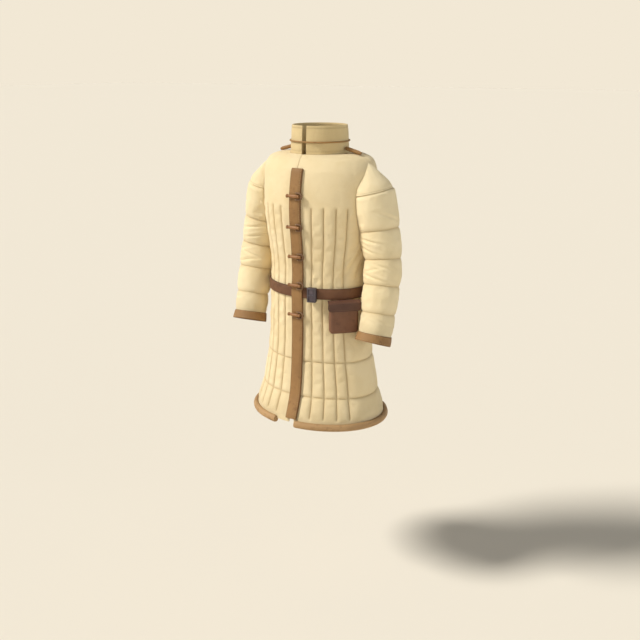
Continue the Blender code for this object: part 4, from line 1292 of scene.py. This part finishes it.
def hem_binding():
    angles = filled([HEM_GAP_LEFT, 360.0 + HEM_GAP_RIGHT], 1.15)
    middle_out, middle_up = BINDING_MIDDLE
    rings = []
    for angle in angles:
        surface, (normal, up) = skin(radians(angle), 0.0), skin_frame(radians(angle), 0.0)
        tuck = 1.0 - 0.10 * (1.0 - rise(min(angle - angles[0], angles[-1] - angle) / 1.2))
        ring = []
        for out, height in BINDING_OUTSIDE + BINDING_SLOT:
            lumps = rough(0.0005, angle * 0.16, out * 90.0, height * 90.0)
            ring.append(surface + normal * (middle_out + (out - middle_out) * tuck + lumps)
                        + up * (middle_up + (height - middle_up) * tuck))
        rings.append(ring)
    worn = [0.8, 0.8] + [0.0] * (len(BINDING_OUTSIDE) + len(BINDING_SLOT) - 2)
    return loft("leather_hem_binding", rings, HEM_LEATHER, sharp=60.0, edge=worn)


pieces["hem_binding"] = hem_binding()

# %% [markdown]
# ## Belt, buckle and pouch
# The belt runs all round and passes under the placket. Its buckle is a forged frame with a plate let into
# it and a tongue across the plate. The pouch hangs from the belt on a short strap, and its flap falls
# over its mouth.

# %% Belt
BELT_INNER, BELT_OUTER, BELT_STATIONS = 0.0012, 0.0055, 280
BELT_LIFT, BELT_LIFT_REACH = 0.0040, 22.0       # over the pouch's hanger; metres and degrees


def belt():
    section, worn = strap(-BELT_HALF_WIDTH, BELT_HALF_WIDTH, BELT_INNER, BELT_OUTER,
                          corner=0.0012, crease=0.0032, dip=0.0004)
    rings = []
    for step in range(BELT_STATIONS):
        angle = 360.0 * step / BELT_STATIONS
        lift = BELT_LIFT * min(1.0, 2.0 * max(0.0, 1.0 - abs(angle - POUCH_ANGLE) / BELT_LIFT_REACH))
        ring = []
        for across, out in section:
            sag = rough(0.0005, angle * 0.09, across * 30.0, 6.0) * (out > BELT_OUTER - 0.002)
            ring.append(torso(radians(angle), near_place(BELT_HEIGHT + across), out + lift + sag))
        rings.append(ring)
    return loft("leather_belt", rings, BELT_LEATHER, closed=True, edge=worn)


pieces["belt"] = belt()


# %% Places on the belt
def belt_seat(angle, out):
    """Frame that stands on the body at the belt: X along the belt, -Y outwards, Z up."""
    place = body_place(BELT_HEIGHT)
    normal, _ = skin_frame(radians(angle), place)
    normal.z = 0.0
    normal.normalize()
    seat = Matrix((normal.cross(Vector((0, 0, -1))), -normal, Vector((0, 0, 1)))).transposed().to_4x4()
    seat.translation = torso(radians(angle), place) + normal * out
    return seat


def block(size, middle):
    """A box with its middle at a point."""
    bm = bmesh.new()
    bmesh.ops.create_cube(bm, size=1.0)
    bmesh.ops.scale(bm, vec=size, verts=bm.verts)
    bmesh.ops.translate(bm, vec=middle, verts=bm.verts)
    return bm


def round_off(bm, edges, radius, segments=3):
    bmesh.ops.bevel(bm, geom=edges, offset=radius, segments=segments, profile=0.5, affect="EDGES", material=-1)


# %% Buckle
BUCKLE_SIZE, BUCKLE_DROP = (0.031, 0.015, 0.049), 0.002
BUCKLE_SEAT = belt_seat(19.3, BELT_OUTER + 0.0003)
BUCKLE_FRAME, BUCKLE_EDGE, PLATE_DEPTH = 0.0032, 0.0009, 0.0030


def buckle():
    depth = BUCKLE_SIZE[1]
    bm = block(BUCKLE_SIZE, (0, -depth / 2, -BUCKLE_DROP))
    outward = [edge for edge in bm.edges if abs(edge.verts[0].co.y - edge.verts[1].co.y) > depth / 2]
    round_off(bm, outward, radius=0.003)
    rim = [edge for edge in bm.edges if all(vert.co.y < -depth + 1e-5 for vert in edge.verts)]
    round_off(bm, rim, radius=0.0016)
    face = min(bm.faces, key=lambda candidate: candidate.calc_center_median().y)
    for thickness in (BUCKLE_FRAME, BUCKLE_EDGE):
        bmesh.ops.inset_region(bm, faces=[face], thickness=thickness)
    bmesh.ops.translate(bm, verts=face.verts[:], vec=(0, PLATE_DEPTH, 0))
    edge = bm.verts.layers.float.new("edge")
    for vert in bm.verts:
        vert[edge] = 0.9 if -depth - 1e-5 < vert.co.y < -depth + 0.0009 else 0.15
    bm.transform(BUCKLE_SEAT)
    return finished("iron_buckle", bm, BLACK_IRON, sharp=40.0)


def buckle_tongue():
    """The tongue with its rolled eye, and a rivet in each corner of the plate."""
    bm = bmesh.new()
    plate = PLATE_DEPTH - BUCKLE_SIZE[1]
    eye = Matrix.Translation((0.0085, plate - 0.0004, -BUCKLE_DROP))
    bmesh.ops.create_cone(bm, cap_ends=True, segments=18, radius1=0.0026, radius2=0.0026, depth=0.011,
                          matrix=eye)
    height = plate - 0.0024
    tip = Matrix.Translation((-0.0012, height, -BUCKLE_DROP)) @ Matrix.Rotation(radians(-90), 4, "Y")
    made = bmesh.ops.create_cone(bm, cap_ends=True, segments=14, radius1=0.0021, radius2=0.0012, depth=0.021,
                                 matrix=tip)
    bmesh.ops.scale(bm, vec=(1.0, 0.75, 1.25), verts=made["verts"],
                    space=Matrix.Translation((0.0, -height, BUCKLE_DROP)))
    for across in (-0.0082, 0.0082):
        for up in (-0.0165, 0.0165):
            spot = Matrix.Translation((across, plate - 0.0002, up - BUCKLE_DROP))
            bmesh.ops.create_uvsphere(bm, u_segments=14, v_segments=8, radius=0.0019,
                                      matrix=spot @ Matrix.Scale(0.55, 4, (0, 1, 0)))
    edge = bm.verts.layers.float.new("edge")
    for vert in bm.verts:
        vert[edge] = 0.75
    bm.transform(BUCKLE_SEAT)
    return finished("iron_buckle_tongue", bm, BLACK_IRON, sharp=40.0)


pieces["buckle"] = buckle()
loose.append(buckle_tongue())

# %% Pouch
POUCH_SIZE = (0.0985, 0.032, 0.103)
POUCH_TOP, POUCH_LEATHER, POUCH_BASE, POUCH_CORNER = -0.4840 - BELT_HEIGHT, 0.0025, 0.012, 0.010
POUCH_SEAT = belt_seat(POUCH_ANGLE, 0.0036)
FLAP_WIDTH, FLAP_DROP, FLAP_LEATHER, FLAP_GAP = 0.1135, 0.0255, 0.003, 0.0003
FLAP_RISE, FLAP_CROWN, FLAP_TAPER = 0.0018, 0.0045, 0.11     # up at the back, up in the middle, narrower behind
FLAP_TOP_ROWS, FLAP_BEND_ROWS, FLAP_FRONT_ROWS, FLAP_COLUMNS = 7, 5, 12, 44


def slump(place):
    """Where a point of the pouch goes when the bag is full: out at the belly and in along the gussets."""
    width, depth, height = POUCH_SIZE
    x, y, z = place
    across, up = 2 * x / width, 2 * (z - POUCH_TOP + height / 2) / height
    front = rise((-y / depth - 0.35) / 0.65)
    belly = max((1.0 - across ** 2) * (1.0 - (up + 0.25) ** 2 * 0.6), 0.0)
    y -= front * (0.0012 * belly - 0.0004 + rough(0.0009, x * 45.0, z * 45.0, 2.0))
    pinch = 1.0 - 0.030 * bell((y / depth + 0.5) / 0.28) * rise((1.0 - abs(up)) / 0.2)
    return Vector((x * pinch, y, z - 0.0012 * (1.0 - across ** 2) * rise((-up - 0.6) / 0.4)))


def pouch():
    width, depth, height = POUCH_SIZE
    middle = POUCH_TOP - height / 2
    bm = block(POUCH_SIZE, (0, -depth / 2, middle))
    upright = [edge for edge in bm.edges
               if abs(edge.verts[0].co.z - edge.verts[1].co.z) > height / 2
               or max(vert.co.z for vert in edge.verts) < middle]
    round_off(bm, upright, POUCH_CORNER, 5)
    mouth = max(bm.faces, key=lambda face: face.calc_center_median().z)
    bmesh.ops.inset_region(bm, faces=[mouth], thickness=POUCH_LEATHER)
    hollow = bmesh.ops.extrude_face_region(bm, geom=[mouth])
    floor = [item for item in hollow["geom"] if isinstance(item, bmesh.types.BMVert)]
    bmesh.ops.delete(bm, geom=[mouth], context="FACES_ONLY")
    bmesh.ops.translate(bm, verts=floor, vec=(0, 0, POUCH_BASE - height))
    for axis, cuts in ((0, 26), (2, 26), (1, 5)):
        for cut in range(1, cuts):
            level = [0.0, -depth / 2, middle]
            level[axis] += POUCH_SIZE[axis] * (cut / cuts - 0.5)
            bmesh.ops.bisect_plane(bm, geom=bm.verts[:] + bm.edges[:] + bm.faces[:], dist=1e-6,
                                   plane_co=level, plane_no=[float(axis == index) for index in range(3)])
    edge = bm.verts.layers.float.new("edge")
    for vert in bm.verts:
        x, y, z = vert.co
        inset = min(width / 2 - abs(x), z - (middle - height / 2), depth * 0.5)
        if y < -depth + 0.004:
            vert[edge] = bell((inset - 0.0035) / 0.0016) * 0.5
            vert.co.y += 0.0007 * bell((inset - 0.0040) / 0.0013)
        vert.co = slump(vert.co)
    bm.transform(POUCH_SEAT)
    return finished("leather_pouch", bm, BROWN_LEATHER, sharp=40.0)


def flap():
    """The flap is bent over the pouch: flat on top, round the front corner and down."""
    top, front = POUCH_TOP + FLAP_GAP, -POUCH_SIZE[1] - FLAP_GAP
    bend_end = FLAP_TOP_ROWS + FLAP_BEND_ROWS
    points, inner, edge = [], [], []
    for row in range(bend_end + FLAP_FRONT_ROWS + 1):
        back = row / FLAP_TOP_ROWS
        turn = radians(90.0 * min(max(row - FLAP_TOP_ROWS, 0), FLAP_BEND_ROWS) / FLAP_BEND_ROWS)
        down = max(row - bend_end, 0) / FLAP_FRONT_ROWS
        flat = row < FLAP_TOP_ROWS
        thick = Vector((0.0, sin(turn), -cos(turn))) * FLAP_LEATHER
        line, under, worn = [], [], []
        for column in range(FLAP_COLUMNS + 1):
            x = FLAP_WIDTH * (column / FLAP_COLUMNS - 0.5)
            near = FLAP_WIDTH / 2 - abs(x)
            long = FLAP_DROP - POUCH_CORNER + (POUCH_CORNER ** 2 - max(POUCH_CORNER - near, 0.0) ** 2) ** 0.5
            y, z = front - FLAP_LEATHER * sin(turn), top + FLAP_LEATHER * cos(turn) - long * down
            if flat:
                x *= 1.0 - FLAP_TAPER * (1.0 - back)
                y, z = front * back, z + FLAP_RISE * (1.0 - back) + FLAP_CROWN * sin(pi * back) ** 1.5
            soft = rough(0.00035, x * 40.0, z * 60.0 + row * 0.05, 15.0)
            curl = 0.0006 * down * down * abs(2 * x / FLAP_WIDTH) ** 3
            lift = 0.0 if flat else 0.0003 - 0.0009 * (1.0 - rise(near / 0.0015))
            place = Vector((x, y, z + soft)) if flat else Vector((x, y + curl - soft, z))
            line.append(place - thick.normalized() * lift)
            under.append(place + thick * 0.93)
            worn.append(bell(min(near, long * (1.0 - down) if row > bend_end else 1.0) / 0.0018))
        points.append(line)
        inner.append(under)
        edge.append(worn)
    bm, read = sheet(points, {"edge": edge})
    carry_through(bm, inner, read)
    bm.transform(POUCH_SEAT)
    return finished("leather_flap", bm, DARK_LEATHER, sharp=45.0)


pieces["pouch_body"], pieces["pouch_flap"] = pouch(), flap()
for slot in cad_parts["pouch_hanger"].material_slots:
    slot.material = BROWN_LEATHER

# %% [markdown]
# ## Stitches
# Quilting is sewn by hand with a running stitch, so the thread shows as a row of short dashes at the
# bottom of each channel. One dash is a small flattened ball of a few dozen faces, placed again and again.

# %% A row of stitches, and how far apart they are
STEP, LEATHER_STEP, HEM_STEP, POUCH_STEP, CAP_STEP = 0.0082, 0.0072, 0.0085, 0.0066, 0.0075


def dash_shape():
    """Corners and faces of one flattened ball, 2 long, wide and high."""
    bm = bmesh.new()
    bmesh.ops.create_uvsphere(bm, u_segments=6, v_segments=4, radius=1.0)
    bm.verts.ensure_lookup_table()
    shape = [vert.co.copy() for vert in bm.verts], [[vert.index for vert in face.verts] for face in bm.faces]
    bm.free()
    return shape


DASH_CORNERS, DASH_FACES = dash_shape()


def sewn(name, stitches, paint=LINEN_THREAD, length=0.0052, width=0.0013, height=0.0009):
    """One piece of thread work from stitches, each a (point, normal, along)."""
    corners, faces = [], []
    for point, normal, along in stitches:
        along = along.normalized() * length / 2
        side = normal.cross(along).normalized() * width / 2
        turn = Matrix((along, side, normal.normalized() * height / 2)).transposed()
        faces += [[len(corners) + index for index in face] for face in DASH_FACES]
        corners += [point + turn @ corner for corner in DASH_CORNERS]
    mesh = bpy.data.meshes.new("thread_" + name)
    mesh.from_pydata(corners, [], faces)
    mesh.materials.append(paint)
    mesh.shade_smooth()
    loose.append(stand("thread_" + name, mesh))
    print("thread_" + name, "stitches", len(faces) // len(DASH_FACES))


def along_line(low, high, step=STEP):
    return [low + step * (index + 0.5) for index in range(int((high - low) / step))]


# %% Stitches of the quilting
def channel_row(angle):
    for height in along_line(CHANNEL_BOTTOM, CHANNEL_TOP):
        if (abs(height - BELT_HEIGHT) >= BELT_HALF_WIDTH + 0.003
                and min(abs(height - line) for line in SKIRT_LINES) >= 0.004):
            at, place = radians(angle), near_place(height)
            normal, up = skin_frame(at, place)
            yield skin(at, place) + normal * (0.0007 - CHANNEL_DEPTH), normal, up


def round_body(place, first, last, step=STEP):
    """A stitch after another round the body: its angle in degrees, its frame and the way it runs."""
    angle = first
    while angle < last:
        at = radians(angle)
        slope = skin(at + 0.001, place) - skin(at - 0.001, place)
        yield angle, skin(at, place), *skin_frame(at, place), slope
        angle += degrees(step / (slope.length / 0.002))


def line_row(line, first, last):
    for angle, point, normal, _, slope in round_body(body_place(line), first, last):
        beside_placket = abs(point.x) > 0.026 or point.y > 0
        if beside_placket and min(abs(from_front(angle) - channel) for channel in CHANNELS) > 1.0:
            yield point + normal * (0.0006 - SKIRT_LINE_DEPTH), normal, slope


def quilting(angles, spans):
    """Stitches up the channels at some angles and along each skirt line over its span."""
    for angle in angles:
        yield from channel_row(angle)
    for line, span in zip(SKIRT_LINES, spans):
        yield from line_row(line, *span)


seams = [side_seam(line) for line in SKIRT_LINES]
sewn("front_left", quilting(CHANNELS[:4], [(0.5, seam - 0.8) for seam in seams]))
sewn("front_right", quilting([-angle for angle in CHANNELS[:4]], [(360.8 - seam, 359.5) for seam in seams]))
sewn("back", quilting(CHANNELS[4:] + [360.0 - angle for angle in CHANNELS[4:7]],
                      [(seam + 0.8, 359.2 - seam) for seam in seams]))


# %% Stitches of the sleeves, caps and collar
def arm_row(side, height, radius, first=-180.0, last=180.0, step=STEP, top=None):
    """A row round an arm; where top is given, only the stitches whose line is still open there."""
    flip = Vector((SIDES[side], 1.0, 1.0))
    count = int(radians(last - first) * radius / step)
    for index in range(count):
        turn = radians(first + (last - first) * (index + 0.5) / count)
        if top is None or seat_height(turn, SLEEVE) > top:
            along = arm(turn + 0.01, height, radius) - arm(turn - 0.01, height, radius)
            normal = arm_frame(height)[2].cross(along)
            yield [flip * vector for vector in (arm(turn, height, radius), normal, along)]


def sleeve_rows(side):
    for level in SLEEVE_RINGS:
        yield from arm_row(side, level, soft_girth(SLEEVE, level) - 0.0028, top=level + 0.010)
    first, last = cap_reach()
    rim = CAP[0].height + CAP_SEAM
    yield from arm_row(side, rim, girth(CAP, rim) - 0.0002, first + 2.0, last - 2.0, CAP_STEP)


def collar_rows():
    for height in (COLLAR[0].height + COLLAR_SEAMS[0], COLLAR[2].height - COLLAR_SEAMS[1]):
        radius = soft_girth(COLLAR, height) - 0.0004
        count = int((2 * pi - 2 * COLLAR_SLIT) * radius / STEP)
        for index in range(count):
            turn = COLLAR_SLIT + (2 * pi - 2 * COLLAR_SLIT) * (index + 0.5) / count
            yield on_neck(radius, turn, height), on_neck(1.0, turn, 0.0), Vector((cos(turn), sin(turn), 0.0))


for side in SIDES:
    sewn("sleeve_" + side, sleeve_rows(side))
sewn("collar", collar_rows())


# %% Stitches of the leather
def front_stitch(across, height, out):
    place = near_place(height)
    return front_point(across, place, out), *skin_frame(0.0, place)


def placket_rows():
    for across, clear in ((PLACKET_RIGHT + PLACKET_CREASE, 0.0075), (PLACKET_LEFT - PLACKET_CREASE, 0.0145)):
        for height in along_line(PLACKET_BOTTOM + 0.003, PLACKET_TOP - 0.003, LEATHER_STEP):
            off = [abs(height - FIRST_TOGGLE + number * TOGGLE_PITCH) for number in range(TOGGLE_COUNT)]
            if min(off) >= clear:
                yield front_stitch(across, height, PLACKET_OUTER - 0.0003)


def loop_rows():
    """Two wraps of thread over each cut end of a loop."""
    for number in range(TOGGLE_COUNT):
        for up in (-LOOP_HALF, LOOP_HALF):
            for across in (0.0022, 0.0040):
                yield front_stitch(LOOP_START + across + number * TOGGLE_DRIFT,
                                   FIRST_TOGGLE - number * TOGGLE_PITCH + up,
                                   PLACKET_OUTER + LOOP_GAP + 2 * LOOP_CORD - 0.0002)


def hem_row():
    for _, point, normal, up, slope in round_body(0.0, HEM_GAP_LEFT + 0.8, 359.4 + HEM_GAP_RIGHT, HEM_STEP):
        yield point + normal * 0.0106 + up * 0.0069, (normal + up).normalized(), slope


def cuff_rows(side):
    for height in (CUFF_OUTER[0].height + 0.005, CUFF_OUTER[1].height - 0.005):
        yield from arm_row(side, height, girth(CUFF_OUTER, height) - 0.0003, step=LEATHER_STEP)


def pouch_rows():
    """Along three edges of the flap, and across the bottom of the pouch."""
    turn = POUCH_SEAT.to_3x3()
    normal, along = turn @ Vector((0, -1, 0)), turn @ Vector((1, 0, 0))
    width, depth, height = POUCH_SIZE
    face, hem, side = -depth - FLAP_LEATHER - 0.0007, POUCH_TOP - FLAP_DROP, FLAP_WIDTH / 2
    for across in along_line(0.009 - side, side - 0.009, POUCH_STEP):
        yield POUCH_SEAT @ Vector((across, face, hem + 0.0042)), normal, along
    for across in (0.0042 - side, side - 0.0042):
        for up in along_line(hem + 0.0075, POUCH_TOP - 0.001, POUCH_STEP):
            yield POUCH_SEAT @ Vector((across, face, up)), normal, Vector((0, 0, 1))
    for across in along_line(0.013 - width / 2, width / 2 - 0.013, POUCH_STEP):
        yield POUCH_SEAT @ slump((across, 0.0003 - depth, POUCH_TOP - height + 0.0100)), normal, along


sewn("loops", loop_rows(), LEATHER_THREAD, length=0.0062, width=0.0012)
sewn("placket", placket_rows(), LEATHER_THREAD, length=0.0046)
sewn("hem", hem_row(), LEATHER_THREAD)
for side in SIDES:
    sewn("cuff_" + side, cuff_rows(side), LEATHER_THREAD, length=0.0044)
sewn("pouch", pouch_rows(), BROWN_THREAD, length=0.0042, width=0.0012)

# %% [markdown]
# ## Which solid each piece stands for
# Every new piece rides on the one body of the part, and it hides the solid that it replaces.

# %% Replace the solids
for node, piece in pieces.items():
    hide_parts(node)
for piece in [*pieces.values(), *loose]:
    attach(piece, "root")

# %% Cut of the cloth
CUTS = {
    "front_left": (0.40, 0.93, 0.275), "front_right": (0.40, 0.93, 0.275), "back": (0.76, 0.93, 0.480),
    "sleeve_left": (0.41, 0.60, 0.191), "sleeve_right": (0.41, 0.60, 0.191),
    "cap_left": (0.24, 0.11, 0.0157), "cap_right": (0.24, 0.11, 0.0157), "collar": (0.60, 0.100, 0.0587),
}
for node, (width, length, area) in CUTS.items():
    piece = pieces[node]

# %% Sizes of the dressed part
dressed_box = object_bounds()
for corner, new in zip(solid_box, dressed_box):
    print("moved by, in mm:", [round(1000 * (b - a), 1) for a, b in zip(corner, new)])
